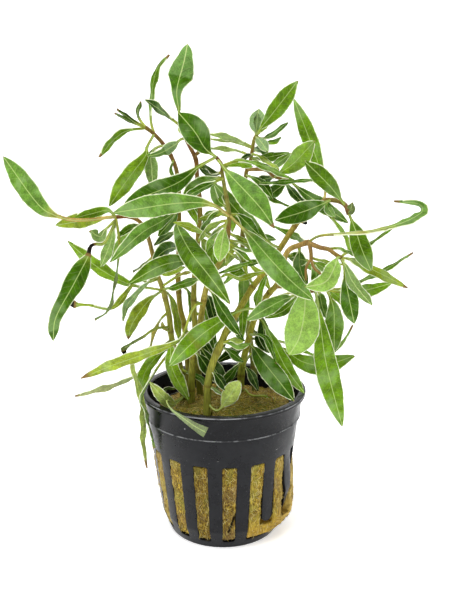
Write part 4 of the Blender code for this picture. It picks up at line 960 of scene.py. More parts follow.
# Small leaves by stem: width in mm, roll in degrees, share of stalk, side that is seen, look and route.
SMALL_LEAVES = {
    "left": [
        (2.9, 5, 0.58, UNDER, "cut", CUT_LEAF),
        (4, 15, 0.35, UNDER, "inner", [(184, 396, 1.8), (177.5, 402, -6), (171, 404, -12.5),
            (161, 395, -16.5), (150, 382.5, -17.5)]),
        (2, 40, 0.4, TOP, "deep", [(183, 385, 2), (174, 388, -1), (166, 389, -3), (159, 395, -4)]),
        (3.8, 35, 0.1, TOP, "bright", [(141, 223, -4), (125, 240, -1), (107, 258, 1)]),
        (3, 78, 0.3, UNDER, "dull", [(116, 217, -6), (119, 235, -6.5), (119.5, 250, -7), (117, 272, -9.5),
            (113, 293, -10), (108, 311, -10), (95, 320, -9)]),
        (3, 40, 0.2, TOP, "lime", [(158, 279, -1), (148, 282, -3), (137, 279, -5), (128, 290, -6),
            (112, 308, -7), (90, 305, -7), (73, 304, -7), (66, 300, -7)]),
        (3, 40, 0.2, UNDER, "rolled", [(158, 277, -1), (150, 281, -4), (138, 292, -5), (127, 305, -5),
            (123, 321, -4)]),
        (2.4, 60, 0.2, TOP, "straw", [(169, 311, 1), (158, 323, -1), (149, 350, -2)]),
        (1.2, 30, 0.5, UNDER, "dull", [(170, 327, 1.5), (155, 329, -3), (143, 337, -5), (130, 344.5, -6),
            (123.5, 349, -6), (126, 356, -6)]),
        (3, 50, 0.4, TOP, "ashen", [(172, 343, 2), (165, 348, 3), (148, 360, 4), (137, 374, 4),
            (113, 386, 2), (75, 396, -2)]),
        (1.8, 60, 0.3, UNDER, "grey", [(174, 347, 2), (155, 372, -9), (141, 398, -17), (146, 413, -16.5),
            (150, 430, -14.5), (155, 448, -13)]),
        (3, 35, 0.15, TOP, "yellow", [(163, 290, 0), (168, 294, 3), (173, 303, 4), (177, 320, 4.5),
            (180, 345, 4.5)]),
        (3.4, 35, 0.2, TOP, "mid", [(163, 289, 0), (172, 288, -3), (180, 285, -4), (200, 279, -5)]),
        (2.6, 70, 0.2, UNDER, "cut", [(153, 257, -2), (145, 264, -1), (133, 272, 0)]),
        (1.6, 20, 0.3, TOP, "straw", [(170, 331, 2), (164, 328, 0), (162, 322, -1)]),
        (1.2, 20, 0.6, TOP, "straw", [(162, 286, 0), (180, 275, -2), (192, 272, -2)]),
    ],
    "back_left": [
        (1.7, 45, 0.3, TOP, "bud", [(146, 128, 2), (130, 118, 0), (117, 109, -2)]),
        (1.8, 45, 0.3, TOP, "bud", [(146, 128, 2), (130, 121, 4), (115, 113, 5)]),
        (1.9, 45, 0.3, TOP, "bud", [(146, 128, 2), (138, 115, 4), (141, 102, 6)]),
        (3.4, 55, 0.2, TOP, "mid", [(155, 135, 3), (151, 120, 5), (152, 95, 8), (157, 70, 9),
            (169.5, 55, 9)]),
        (2.4, 55, 0.2, TOP, "mid", [(173, 160, 5), (171, 168, 3), (172, 178, 2)]),
        (3.9, 20, 0.1, TOP, "deep", [(180, 208, 6), (172, 220, 4), (158, 236, 3)]),
        (3, 35, 0.1, TOP, "dark", [(179, 230, 6), (170, 234, 7), (154, 245, 8)]),
        (5, 25, 0.1, TOP, "deep", [(179, 248, 6), (170, 248, 0), (160, 254, -4), (151, 267, -5.5)]),
        (1.8, 40, 0.2, TOP, "mid", [(180, 205, 6), (193, 207, 4.5), (204, 218, 4)]),
    ],
    "middle": [
        (3.4, 45, 0.15, TOP, "dark", [(180, 125, -4), (162, 111, -2), (146, 99.5, 1)]),
        (2, 40, 0.2, TOP, "lime", [(179, 125, -4), (181, 129, -6), (185, 136, -7)]),
    ],
    "front": [
        (3.4, 40, 0.2, TOP, "deep", [(224, 178, -11.5), (214, 182, -13), (200, 189, -13), (185, 197, -11)]),
        (4.4, 25, 0.1, TOP, "mid", [(224, 178, -11.5), (215, 178, -10), (198, 185, -8), (183, 196, -6)]),
        (2.6, 55, 0.1, TOP, "dark", [(222, 172, -11), (212, 175, -9), (201, 169, -7)]),
        (2.6, 35, 0.3, TOP, "lime", [(227, 240, -12), (214, 239, -10), (195, 229, -8), (174, 222, -5)]),
        (2.4, 50, 0.2, TOP, "mid", [(229, 215, -13), (218, 211, -11), (208, 221, -9), (200, 233, -7)]),
        (1.8, 50, 0.2, TOP, "lime", [(227, 240, -12), (243, 244, -10), (256, 254, -8)]),
        (4.6, 25, 0.1, TOP, "dark", [(194, 350, -3), (202, 360, -4.5), (214, 378, -6)]),
        (2.4, 45, 0.15, TOP, "fresh", [(222, 166, -11), (240, 161, -8), (262, 166, -4), (293, 180, 2)]),
        (1.8, 50, 0.2, TOP, "fresh", [(227.5, 245, -11.8), (242, 254, -10.5), (252, 263, -10)]),
        (1.6, 50, 0.2, TOP, "fresh", [(228, 242, -12), (240, 249, -11), (262, 252, -9)]),
    ],
    "right": [
        (2.6, 45, 0.15, TOP, "mid", [(270, 263, -1.6), (262, 261, -5), (240, 266, -9.5), (219, 273, -10)]),
        (3, 40, 0.15, TOP, "fresh", [(254, 286, -3), (248, 276, -5), (238, 272, -6), (223, 284, -6)]),
        (3, 35, 0.15, TOP, "light", [(325, 202, 1), (329, 210, -1), (335, 218, -2)]),
        (2.6, 45, 0.2, TOP, "bright", [(324, 203, 1), (328, 214, 1), (343, 232, 1), (350, 246, 1.5),
            (362, 266, 2)]),
        (2.6, 30, 0.1, UNDER, "dull", [(348, 213, -3), (351, 210, -5), (352, 203, -6)]),
        (3.6, 35, 0.1, TOP, "dark", [(211, 370, -9.3), (220, 380, -11.5), (228, 392, -12.5)]),
        (3, 35, 0.1, TOP, "deep", [(220, 346, -8), (230, 352, -7), (243, 362, -5)]),
        (2.4, 40, 0.4, TOP, "yellow", [(221, 344, -8), (232, 340, -9), (243, 342, -8)]),
        (2, 40, 0.2, TOP, "deep", [(228, 328, -6.5), (236, 333, -8), (244, 341, -7)]),
        (1.6, 40, 0.2, UNDER, "grey", [(208, 386, -10), (216, 390, -12), (224, 396, -13)]),
    ],
    "low_right": [
        (2.2, 45, 0.15, TOP, "lime", [(280, 276, -5), (275, 270, -6), (255, 274, -7), (240, 279, -8),
            (228, 274, -8), (221, 277, -7)]),
        (3.2, 40, 0.1, TOP, "fresh", [(258, 311, 0), (257, 301, -4.5), (261, 288, -6), (267, 275, -5)]),
        (1.8, 45, 0.2, TOP, "mid", [(341, 257, -12), (345, 254, -8.5), (352, 251, -3), (371, 243, -2),
            (396, 226, -4)]),
        (3.2, 40, 0.1, TOP, "fresh", [(308, 242, -8), (303, 240, -4), (290, 234, 3.5), (274, 226, 5)]),
        (3.8, 30, 0.15, TOP, "lime", [(341, 258, -12), (348, 259, -8), (360, 264, -4), (385, 276, -2),
            (407, 288, 0)]),
        (1.8, 45, 0.15, TOP, "fresh", [(328, 249, -11), (340, 249, -9), (356, 256, -4)]),
        (3.6, 30, 0.15, TOP, "fresh", [(311, 261, -10), (320, 266, -9), (331, 271, -8)]),
        (4.4, 20, 0.15, TOP, "deep", [(311, 261, -10), (300, 259, -5), (288, 256, -2)]),
        (2, 40, 0.2, TOP, "lime", [(311, 258, -9.5), (325, 262, -7), (342, 265, -5)]),
        (2.2, 45, 0.2, TOP, "mid", [(325, 289, -8), (340, 289, -4), (357, 283, 0), (385, 270, 5),
            (413, 253, 9)]),
        (2, 50, 0.3, TOP, "fresh", [(251, 333, 2), (265, 338, 9), (285, 343, 11), (320, 357, 10),
            (333, 353, 9), (346, 338, 8), (353, 325, 8)]),
        (4.2, 25, 0.1, TOP, "dark", [(258, 312, 0), (262, 322, 1.5), (266, 350, 2)]),
        (2.4, 40, 0.35, TOP, "deep", [(250, 334, 2.4), (255, 335, -3), (260, 335, -5), (268, 341, -7),
            (276, 364, -10)]),
        (1.4, 40, 0.2, TOP, "straw", [(298, 290, -8), (285, 294, -9), (272, 299, -9)]),
    ],
    "back": [
        (4.6, 15, 0.1, UNDER, "rolled", [(256, 136, 14), (257, 125, 17), (259, 109, 19)]),
        (2.4, 50, 0.1, TOP, "mid", [(257, 136, 14), (255, 124, 20), (257, 113, 22)]),
        (3, 45, 0.2, TOP, "deep", [(256, 137, 14), (266, 138, 16), (288, 123, 18)]),
        (2.4, 50, 0.2, TOP, "fresh", [(254, 141, 14), (270, 143, 16), (281, 138, 18)]),
        (3.8, 25, 0.15, UNDER, "rolled", [(256, 137, 14), (260, 141, 11), (268, 152, 9)]),
        (2.6, 45, 0.2, TOP, "bright", [(256, 136, 14), (263, 129, 16), (269, 124, 16)]),
        (3, 45, 0.15, TOP, "milky", [(253, 147, 14), (235, 139, 15), (210, 134, 17)]),
        (2.4, 50, 0.2, TOP, "milky", [(251, 156, 14), (235, 150, 17), (209, 148, 19)]),
        (3.4, 35, 0.1, TOP, "deep", [(252, 151, 14), (260, 150, 18), (267, 153, 20)]),
        (2.6, 45, 0.15, TOP, "lime", [(252, 154, 14), (262, 158, 11), (279, 170, 6)]),
        (3.6, 30, 0.1, TOP, "mid", [(253, 158, 15), (264, 158, 18), (289, 153, 21)]),
        (2.2, 45, 0.15, TOP, "deep", [(244, 186, 15), (257, 184, 12), (285, 182, 7), (319, 180, 4)]),
        (3.6, 30, 0.1, TOP, "dark", [(275, 177, 12), (268, 178, 14), (256, 183, 16)]),
        (4.6, 20, 0.1, TOP, "deep", [(289, 181, 11), (280, 187, 11.5), (266, 198, 13)]),
        (1.8, 45, 0.2, TOP, "mid", [(243, 200, 15), (255, 197, 13), (268, 198, 11), (290, 207, 9)]),
        (1.6, 45, 0.2, TOP, "milky", [(253, 148, 14), (235, 142, 19), (211, 139, 22)]),
        (2.6, 40, 0.1, TOP, "dark", [(251, 155, 14), (246, 157, 11), (239, 161, 10)]),
    ],
}

# Inner leaves that fill the crown, past the count of the solids, in the same form. They grow on the stems.
INNER_LEAVES = {
    "middle": [
        (5.6, 20, 0.1, TOP, "dark", [(196, 340, 4), (203, 352, 3), (214, 368, 2), (229, 392, 0)]),
        (3.4, 35, 0.15, TOP, "mid", [(195, 300, 3), (203, 306, 3), (210, 320, 3), (214, 338, 3)]),
        (3, 35, 0.15, TOP, "lime", [(199, 230, 0), (206, 232, 1), (216, 242, 2), (224, 256, 3)]),
        (4, 30, 0.1, TOP, "deep", [(195, 312, 3), (203, 318, 3.5), (211, 332, 4), (215, 352, 4)]),
        (3, 30, 0.1, TOP, "bright", [(198, 226, 0), (194, 216, -1), (189, 209, -2), (181, 207, -3)]),
        (3, 30, 0.1, TOP, "lime", [(198, 236, 0), (202, 240, 1), (206, 246, 2), (210, 255, 3)]),
    ],
    "back_left": [
        (4.2, 30, 0.1, TOP, "dark", [(185, 335, 8), (194, 343, 8), (207, 358, 7), (217, 372, 6)]),
        (2.8, 35, 0.15, TOP, "mid", [(180, 285, 7.5), (187, 290, 7), (192, 303, 6), (190, 322, 6)]),
        (4, 30, 0.1, TOP, "dark", [(184, 330, 8), (196, 338, 6), (206, 346, 5), (214, 360, 4)]),
    ],
    "back": [
        (3.6, 30, 0.15, TOP, "dark", [(253, 352, 11), (246, 360, 9), (236, 372, 7), (224, 384, 6)]),
        (3.4, 35, 0.15, TOP, "deep", [(253, 350, 11), (260, 356, 10), (270, 370, 9), (276, 384, 8)]),
        (3.2, 30, 0.15, TOP, "dark", [(246, 310, 13), (239, 318, 12), (228, 330, 11), (218, 346, 10)]),
        (3.2, 30, 0.15, TOP, "deep", [(243, 225, 15), (250, 228, 14), (262, 236, 13), (276, 240, 12)]),
        (3, 30, 0.15, TOP, "lime", [(243, 250, 14.5), (236, 255, 13), (224, 262, 12), (214, 272, 11)]),
        (3.2, 30, 0.15, TOP, "lime", [(243, 262, 14), (251, 266, 13), (262, 276, 12), (270, 290, 11)]),
        (3, 35, 0.15, TOP, "lime", [(243, 238, 14.7), (237, 243, 13), (230, 252, 12), (226, 266, 11)]),
        (3, 30, 0.15, TOP, "bright", [(247, 205, 15), (240, 209, 13), (234, 218, 12), (232, 232, 11)]),
        (3.2, 25, 0.1, TOP, "mid", [(252, 158, 14), (268, 168, 12), (281, 161, 10), (292, 153, 9)]),
        (3, 30, 0.1, TOP, "dark", [(282, 179, 11), (291, 190, 8), (300, 200, 6), (311, 208, 4)]),
        (4, 30, 0.1, TOP, "dark", [(252, 345, 11), (241, 348, 9), (230, 354, 8), (216, 362, 7)]),
        (3.4, 25, 0.1, TOP, "deep", [(250, 176, 14), (259, 181, 12), (267, 190, 10), (273, 200, 9)]),
        (2.3, 15, 0.1, TOP, "bud", [(257, 135, 12.8), (257, 125, 13.8), (257.5, 113, 16)]),
    ],
    "low_right": [
        (3.2, 30, 0.15, TOP, "deep", [(243, 362, 5), (237, 366, 3), (228, 378, 1), (216, 388, 0)]),
        (3.4, 35, 0.15, TOP, "dark", [(242, 366, 5.5), (249, 371, 3), (254, 380, 1), (258, 391, 0)]),
        (3, 30, 0.15, TOP, "fresh", [(285, 257, -6), (294, 256, -3), (304, 262, 0), (316, 272, 2)]),
        (4.4, 20, 0.1, TOP, "deep", [(300, 247, -7), (299, 260, -5), (301, 272, -5), (307, 286, -5)]),
        (3.4, 20, 0.1, TOP, "mid", [(311, 261, -10), (315, 269, -7), (316, 280, -6), (312, 290, -6)]),
        (4, 20, 0.1, TOP, "mid", [(318, 287, -8), (320, 297, -6), (322, 306, -6), (326, 318, -6)]),
        (3, 20, 0.1, TOP, "bright", [(325, 289, -8), (333, 293, -5), (341, 300, -4), (347, 310, -4)]),
        (3.4, 20, 0.1, TOP, "mid", [(298, 290, -8), (292, 303, -5), (281, 312, -3), (265, 318, -2)]),
        (3.6, 25, 0.1, TOP, "dark", [(252, 328, 2), (257, 335, 3), (262, 344, 3), (269, 353, 3)]),
        (0.9, 20, 0.75, TOP, "fresh", [(240, 395, 2.5), (252, 395.5, -1), (262, 396, -4.6),
            (269, 396.5, -5.2), (273, 399, -5.6), (272, 403, -5.8)]),
    ],
    "left": [
        (2.8, 35, 0.2, TOP, "deep", [(181, 368, 2), (186, 372, 1), (200, 378, 1), (208, 388, 1)]),
        (3.4, 20, 0.1, TOP, "fresh", [(116, 216, -6), (108, 210, -7), (94, 213, -8), (74, 218, -9)]),
        (3.2, 25, 0.1, TOP, "mid", [(147, 227, -3.4), (138, 226, -2), (128, 230, -1), (117, 238, 0)]),
        (2.6, 30, 0.1, TOP, "lime", [(156, 270, -1.3), (163, 274, -2), (172, 272, -3), (185, 267, -4)]),
    ],
    "front": [
        (3.4, 35, 0.15, TOP, "bud", [(222, 172, -11), (215, 173, -9.5), (206, 170, -8), (199, 166, -7)]),
        (2.4, 35, 0.15, TOP, "lime", [(228, 220, -12.7), (219, 222, -11), (209, 229, -9.5), (198, 241, -8)]),
        (2.4, 35, 0.15, TOP, "fresh", [(228, 228, -12.3), (220, 232, -11), (212, 240, -10), (206, 252, -9)]),
        (2.8, 35, 0.15, TOP, "lime", [(228, 232, -12), (238, 238, -9), (250, 244, -7), (264, 256, -6)]),
        (2.6, 35, 0.15, TOP, "lime", [(227, 238, -12), (236, 248, -10), (243, 259, -9), (246, 274, -8)]),
        (2.6, 35, 0.15, TOP, "fresh", [(227, 216, -12.6), (218, 213, -9), (209, 215, -6), (202, 226, -4)]),
        (4, 20, 0.1, TOP, "mid", [(226, 208, -12.4), (219, 201, -10), (216, 192, -9), (213, 181, -8)]),
        (4, 25, 0.1, TOP, "dark", [(206, 290, -7), (209, 300, -5), (212, 311, -4), (216, 326, -3)]),
        (3, 25, 0.1, TOP, "bright", [(223, 170, -11), (230, 165, -9), (240, 163, -7), (252, 167, -5)]),
        (2.6, 30, 0.1, TOP, "lime", [(226, 212, -12.6), (217, 214, -10), (207, 218, -7), (199, 219, -5)]),
    ],
    "right": [
        (3, 30, 0.15, TOP, "mid", [(262, 275, -2), (268, 270, 1), (278, 268, 3), (290, 272, 5)]),
        (3.6, 25, 0.1, TOP, "deep", [(227, 331, -6.7), (222, 342, -4), (218, 351, -2), (212, 362, 0)]),
        (2.6, 25, 0.1, TOP, "fresh", [(222, 343, -7.8), (231, 343, -9), (240, 346, -9), (250, 344, -8)]),
    ],
}

# Where the run of colour along a stem stands: share of the length and colour, from foot to tip.
STEM_COLOURS = {
    "left": (
        (0.0, "#6E7028"), (0.3, "#A8AC44"), (0.6, "#AAA24A"), (0.8, "#A08644"), (0.92, "#A8803E"),
        (1.0, "#7A4420")),
    "back_left": (
        (0.0, "#6E7028"), (0.3, "#A0923A"), (0.6, "#927A2C"), (0.8, "#8E7838"), (0.92, "#8A5A34"),
        (1.0, "#8C7A34")),
    "middle": (
        (0.0, "#6E7028"), (0.35, "#ACA844"), (0.65, "#A0903A"), (0.8, "#86642C"), (0.93, "#8A5E36"),
        (1.0, "#98964A")),
    "front": (
        (0.0, "#74782C"), (0.2, "#ACAC44"), (0.45, "#B0A244"), (0.7, "#968C3C"), (0.77, "#8A6232"),
        (0.81, "#8C8A40"), (0.93, "#8A8A40"), (0.97, "#704A28"), (1.0, "#704A28")),
    "right": (
        (0.0, "#74782C"), (0.2, "#AEB048"), (0.55, "#BCB046"), (0.75, "#AA9640"), (0.9, "#927A42"),
        (1.0, "#86603A")),
    "low_right": (
        (0.0, "#74782C"), (0.25, "#B6BC48"), (0.6, "#BCAE44"), (0.8, "#B8A850"), (0.92, "#C2A25A"),
        (1.0, "#AE8A4C")),
    "back": ((0.0, "#666A2A"), (0.4, "#7C8038"), (0.8, "#847A34"), (0.93, "#8A6C34"), (1.0, "#9CA044")),
}
SHOOT_COLOURS = ((0.0, "#B8985A"), (0.5, "#987442"), (1.0, "#9A8038"))
STUB_COLOURS = ((0.0, "#D6BA5C"), (1.0, "#D6BA5C"))


def colour_at(colours, share):
    """The colour at a share of a run of (share, hex) colours."""
    return along_points([(at, np.array(linear(colour))) for at, colour in colours], share)


def grow_stem(growth, route, first_radius, last_radius, colours, black_tip=False):
    """Adds a jointed round stem to the growth, and returns its middle line."""
    rough = smooth_route(route, MEASURED_POINTS)
    length = sum((second - first).length for first, second in zip(rough, rough[1:]))
    points = smooth_route(route, max(FEWEST_RINGS, int(length / RING_STEP)))
    ways = tangents(points)
    side = ways[0].cross(Vector((0.0, 1.0, 0.0))).normalized()
    joints = [length - LAST_JOINT - JOINT_SPACING * k for k in range(int(length / JOINT_SPACING) + 1)]
    before = None
    for i, (point, way) in enumerate(zip(points, ways)):
        side = (side - way * side.dot(way)).normalized()
        other = way.cross(side)
        share = i / (len(points) - 1)
        near = max(math.exp(-((share * length - joint) / JOINT_REACH) ** 2) for joint in joints)
        radius = first_radius + (last_radius - first_radius) * share
        radius *= BETWEEN_JOINTS + JOINT_SWELL * near
        colour = colour_at(colours, share)
        wither = STUB_BLACK if black_tip and share > STUB_BLACK_FROM else 0.0
        ring = []
        for k in range(STEM_SIDES):
            turn = math.tau * k / STEM_SIDES
            out = side * math.cos(turn) + other * math.sin(turn)
            ring.append(growth.point(point + out * radius, colour, edge=near, wither=wither))
        if before:
            growth.bridge(before, ring, [0] * STEM_SIDES)
        else:
            growth.face(tuple(ring[::-1]))
        before = ring
    dome = growth.point(points[-1] + ways[-1] * last_radius * DOME_HEIGHT, colour, wither=wither)
    for k in range(STEM_SIDES):
        growth.face((before[k], before[(k + 1) % STEM_SIDES], dome))
    return points


def grown_from(lines, way):
    """The places of a shoot or a leaf, which starts at the nearest point on these middle lines."""
    places = [seen_at(*place) for place in way]
    places[0] = nearest_on(lines, places[0])
    return places


def dress_stem(name):
    """One stem, its side shoots and its small leaves as one piece."""
    growth = Growth()
    foot_radius, tip_radius, route = STEM_ROUTES[name]
    seen = [seen_at(*place) for place in route]
    base = seen[0]
    below = [Vector((base.x, base.y, height)) for height in (FOOT_HEIGHT, (FOOT_HEIGHT + base.z) / 2)]
    lines = [grow_stem(growth, below + seen, foot_radius, tip_radius, STEM_COLOURS[name])]
    for owner, first_radius, last_radius, way in SHOOTS:
        if owner == name:
            stub = way[-1] == STUB_END
            lines.append(grow_stem(growth, grown_from(lines, way), first_radius, last_radius,
                                   STUB_COLOURS if stub else SHOOT_COLOURS, black_tip=stub))
    for width, roll, stalk, side, look, way in SMALL_LEAVES[name] + INNER_LEAVES[name]:
        tip = way[-1][:2]
        grow_leaf(growth, grown_from(lines, way), width, roll, stalk, side, look, SMALL_STATIONS,
                  ((1.0, SMALL_WITHER_REACH, TIP_WITHER.get(tip, SMALL_WITHER)),),
                  TIP_FORM.get(tip, USUAL_FORM), kept=CUT_LEAF_KEPT if way == CUT_LEAF else 1.0)
    put_on(growth.finished(f"stem_{name}_grown", [stem_finish, upper_skin, under_skin]),
           "stem", f"stem_{name}")


for stem_name in STEM_ROUTES:
    dress_stem(stem_name)

# %% [markdown]
# ## The net pot
#
# The pot is moulded in one shot of black polypropylene: a rim, a plain band with a step under it, a
# slotted wall and a floor with eight drain slots. A Boolean cut would leave sharp edges and long thin
# faces. So the wall is a sheet of squares whose columns follow the slots' sides. The squares in the
# slots are left out, the sheet is given its 1 mm of plastic, and a bevel rounds each edge as the mould
# does. Two bars at the front right are broken off near the floor: one ends round, the next in a point.

# %% Sizes of the pot, in millimetres
POT_HEIGHT = 47.5
RIM_RADIUS = 27.0
RIM_THICKNESS = 1.2
RIM_ROUND = 0.3
BAND_RADIUS = 25.9
BAND_FOOT_RADIUS = 25.2
BAND_FOOT_HEIGHT = 39.2
BAND_LIP = 0.2
WALL_TOP_RADIUS = 24.8
CORNER_RADIUS = 20.7
CORNER_HEIGHT = 6.5
BASE_RADIUS = 18.2
BASE_THICKNESS = 1.2
WALL = 1.0
SLOT_COUNT = 16
SLOT_TURN = math.radians(5.5)
SLOT_BOTTOM = 2.4
SLOT_TOP = 30.0
SLOT_BOTTOM_WIDTH = 3.9
SLOT_TOP_WIDTH = 4.7
SLOT_CORNER = 0.7
DRAIN_COUNT = 8
DRAIN_WIDTH = 2.4
DRAIN_REACH = (5.0, 13.0)
SECTOR = math.tau / SLOT_COUNT

# How far the edges are rounded, in how many steps, and from which angle an edge is rounded or kept sharp.
WALL_BEVEL = 0.14
FLOOR_BEVEL = 0.15
RIM_BEVEL = 0.09
RIM_SEGMENTS = 128
BEVEL_STEPS = 3
BEVEL_FROM = math.radians(38)
SHARP_FROM = math.radians(50)

# Rows of squares up the wall and out over the floor. They are close at a slot's corners and at a break.
WALL_ROWS = (
    0.0, 0.7, 1.6, SLOT_BOTTOM, 2.45, 2.6, 2.85, 3.1, 4.2, 5.4, 6.0, CORNER_HEIGHT, 7.0, 8.0, 9.0, 9.1, 9.3,
    9.6, 10.1, 10.9, 12.0, 13.5, 15.0, 17.0, 18.5, 20.0, 22.0, 24.0, 26.0, 28.0, 29.3, 29.55, 29.8, 29.95,
    SLOT_TOP, 32.0, 34.5, 37.0, BAND_FOOT_HEIGHT + 0.3)
FLOOR_ROWS = (0.6, 3.0, DRAIN_REACH[0], 7.0, 9.0, 11.0, DRAIN_REACH[1], 15.5, BASE_RADIUS - 0.4)

# Each slot has seven columns of points: two in the bar before it, one on its first side, two in it, one on
# its other side and one in the bar after it. The squares after columns 2 to 4 lie in the slot.
SLOT_COLUMNS = 7
SLOT_INSIDE = (3, 4)
SLOT_SQUARES = (2, 3, 4)
FIRST_AFTER = 5

# Each slot of the floor has five columns, and the square after column 2 lies in it.
DRAIN_COLUMNS = 5
DRAIN_OPENING = 2

# The broken bars: the number of the slot before each, where it ends and where it starts to narrow.
BROKEN_BARS = {1: (9.0, 10.9), 2: (9.6, 20.0)}
BREAK_LOW = 2.4
ROUND_BREAK = 4.0
BREAK_TIP = 0.08

# How far the wool has pushed each broken bar out: (height, distance), from its top down.
BAR_PUSH = {1: ((26.0, 0.0), (19.5, 0.4), (9.0, 1.2)), 2: ((28.0, 0.0), (17.0, 1.8), (9.6, 0.8))}

# Where the wool swells out of the pot: direction, height, how far, and its spread both ways.
BULGES = ((76.0, 10.0, 3.2, 42.0, 9.0), (-80.0, 20.0, 0.4, 30.0, 10.0))


def around(angle, radius, height):
    """A point at this angle from the viewer's side, towards +X."""
    return Vector((radius * math.sin(angle), -radius * math.cos(angle), height))


def wall_radius(height):
    """The outer radius of the slotted wall, which leans out more below its corner."""
    return along_points(((0.0, BASE_RADIUS), (CORNER_HEIGHT, CORNER_RADIUS),
                         (BAND_FOOT_HEIGHT, WALL_TOP_RADIUS)), height)


def bar_push(bar, height):
    """How far this bar is pushed out here."""
    if bar not in BAR_PUSH or height < BAR_PUSH[bar][-1][0]:
        return 0.0
    return along_points(BAR_PUSH[bar], height)


def bulge_at(angle, height):
    """How far the wool swells out of the pot here."""
    total = 0.0
    for direction, middle, reach, spread, rise in BULGES:
        turn = (math.degrees(angle) - direction + 180) % 360 - 180
        total += reach * math.exp(-(turn / spread) ** 2 - ((height - middle) / rise) ** 2)
    return total


def slot_half_width(height):
    """Half the width of a slot, with rounded corners at its top and bottom."""
    share = (height - SLOT_BOTTOM) / (SLOT_TOP - SLOT_BOTTOM)
    half = (SLOT_BOTTOM_WIDTH + (SLOT_TOP_WIDTH - SLOT_BOTTOM_WIDTH) * share) / 2
    into = SLOT_CORNER - min(height - SLOT_BOTTOM, SLOT_TOP - height)
    if into > 0:
        half += math.sqrt(max(0.0, SLOT_CORNER ** 2 - min(into, SLOT_CORNER) ** 2)) - SLOT_CORNER
    return half


def evaluated(made):
    """The same object with its modifiers applied."""
    mesh = bpy.data.meshes.new_from_object(made.evaluated_get(bpy.context.evaluated_depsgraph_get()))
    made.modifiers.clear()
    old = made.data
    made.data = mesh
    bpy.data.meshes.remove(old)
    return made


def from_bmesh(name, shape):
    """An object from a bmesh in millimetres."""
    for vertex in shape.verts:
        vertex.co *= MM
    return as_object(name, shape)


def rounded(made, thickness, bevel):
    """Gives a sheet its thickness towards its back and rounds its edges."""
    if thickness:
        wall = made.modifiers.new("plastic", "SOLIDIFY")
        wall.thickness = thickness * MM
        wall.offset = -1.0
    edge = made.modifiers.new("mould radius", "BEVEL")
    edge.width = bevel * MM
    edge.segments = BEVEL_STEPS
    edge.limit_method = "ANGLE"
    edge.angle_limit = BEVEL_FROM
    made = evaluated(made)
    made.data.polygons.foreach_set("use_smooth", [True] * len(made.data.polygons))
    made.data.set_sharp_from_angle(angle=SHARP_FROM)
    return made


def bar_edge(height, slot, side):
    """The angle from the slot's middle to this side of its bar, which narrows where it is broken."""
    edge = math.asin(slot_half_width(min(max(height, SLOT_BOTTOM), SLOT_TOP)) / wall_radius(height))
    bar = slot if side > 0 else slot - 1
    if bar in BROKEN_BARS:
        end, narrow = BROKEN_BARS[bar]
        if end <= height < narrow:
            share = (height - end) / (narrow - end)
            keep = math.sqrt(1 - (1 - share) ** 2) if narrow - end < ROUND_BREAK else share
            edge += (SECTOR / 2 - edge) * (1 - max(keep, BREAK_TIP))
    return edge


def bar_beside(slot, column):
    """The number of the bar that this column of a slot's points belongs to."""
    return slot if column >= FIRST_AFTER else slot - 1


def wall_row(shape, height):
    """One row of points round the wall."""
    row = []
    for slot in range(SLOT_COUNT):
        middle = SLOT_TURN + SECTOR * slot
        before = bar_edge(height, slot, -1)
        after = bar_edge(height, slot, 1)
        offsets = (-SECTOR / 2, -(SECTOR / 2 + before) / 2, -before, -before / 3, after / 3, after,
                   (SECTOR / 2 + after) / 2)
        for column, offset in enumerate(offsets):
            push = 0.0 if column in SLOT_INSIDE else bar_push(bar_beside(slot, column), height)
            row.append(shape.verts.new(around(middle + offset, wall_radius(height) + push, height)))
    return row


def is_open(slot, column, low, high):
    """Whether the square after this column is left out, in a slot or in a break."""
    if column in SLOT_SQUARES:
        return low >= SLOT_BOTTOM and high <= SLOT_TOP
    bar = bar_beside(slot, column)
    return bar in BROKEN_BARS and low >= BREAK_LOW and high <= BROKEN_BARS[bar][0]


def slotted_wall():
    """The wall: columns that follow the slots, and no squares in the slots and the breaks."""
    shape = bmesh.new()
    rows = [wall_row(shape, height) for height in WALL_ROWS]
    columns = SLOT_COUNT * SLOT_COLUMNS
    for low, high, lower, upper in zip(WALL_ROWS, WALL_ROWS[1:], rows, rows[1:]):
        for i in range(columns):
            if not is_open(*divmod(i, SLOT_COLUMNS), low, high):
                j = (i + 1) % columns
                shape.faces.new((lower[i], lower[j], upper[j], upper[i]))
    loose = [vertex for vertex in shape.verts if not vertex.link_faces]
    bmesh.ops.delete(shape, geom=loose, context="VERTS")
    return rounded(from_bmesh("pot_wall", shape), WALL, WALL_BEVEL)


def turned_ring(name, outline, segments, bevel):
    """A closed ring turned from a closed outline of (radius, height)."""
    shape = bmesh.new()
    rows = [[shape.verts.new(around(math.tau * k / segments, radius, height)) for k in range(segments)]
            for radius, height in outline]
    for lower, upper in zip(rows, rows[1:] + rows[:1]):
        for k in range(segments):
            j = (k + 1) % segments
            shape.faces.new((lower[k], lower[j], upper[j], upper[k]))
    bmesh.ops.recalc_face_normals(shape, faces=shape.faces)
    return rounded(from_bmesh(name, shape), 0.0, bevel)


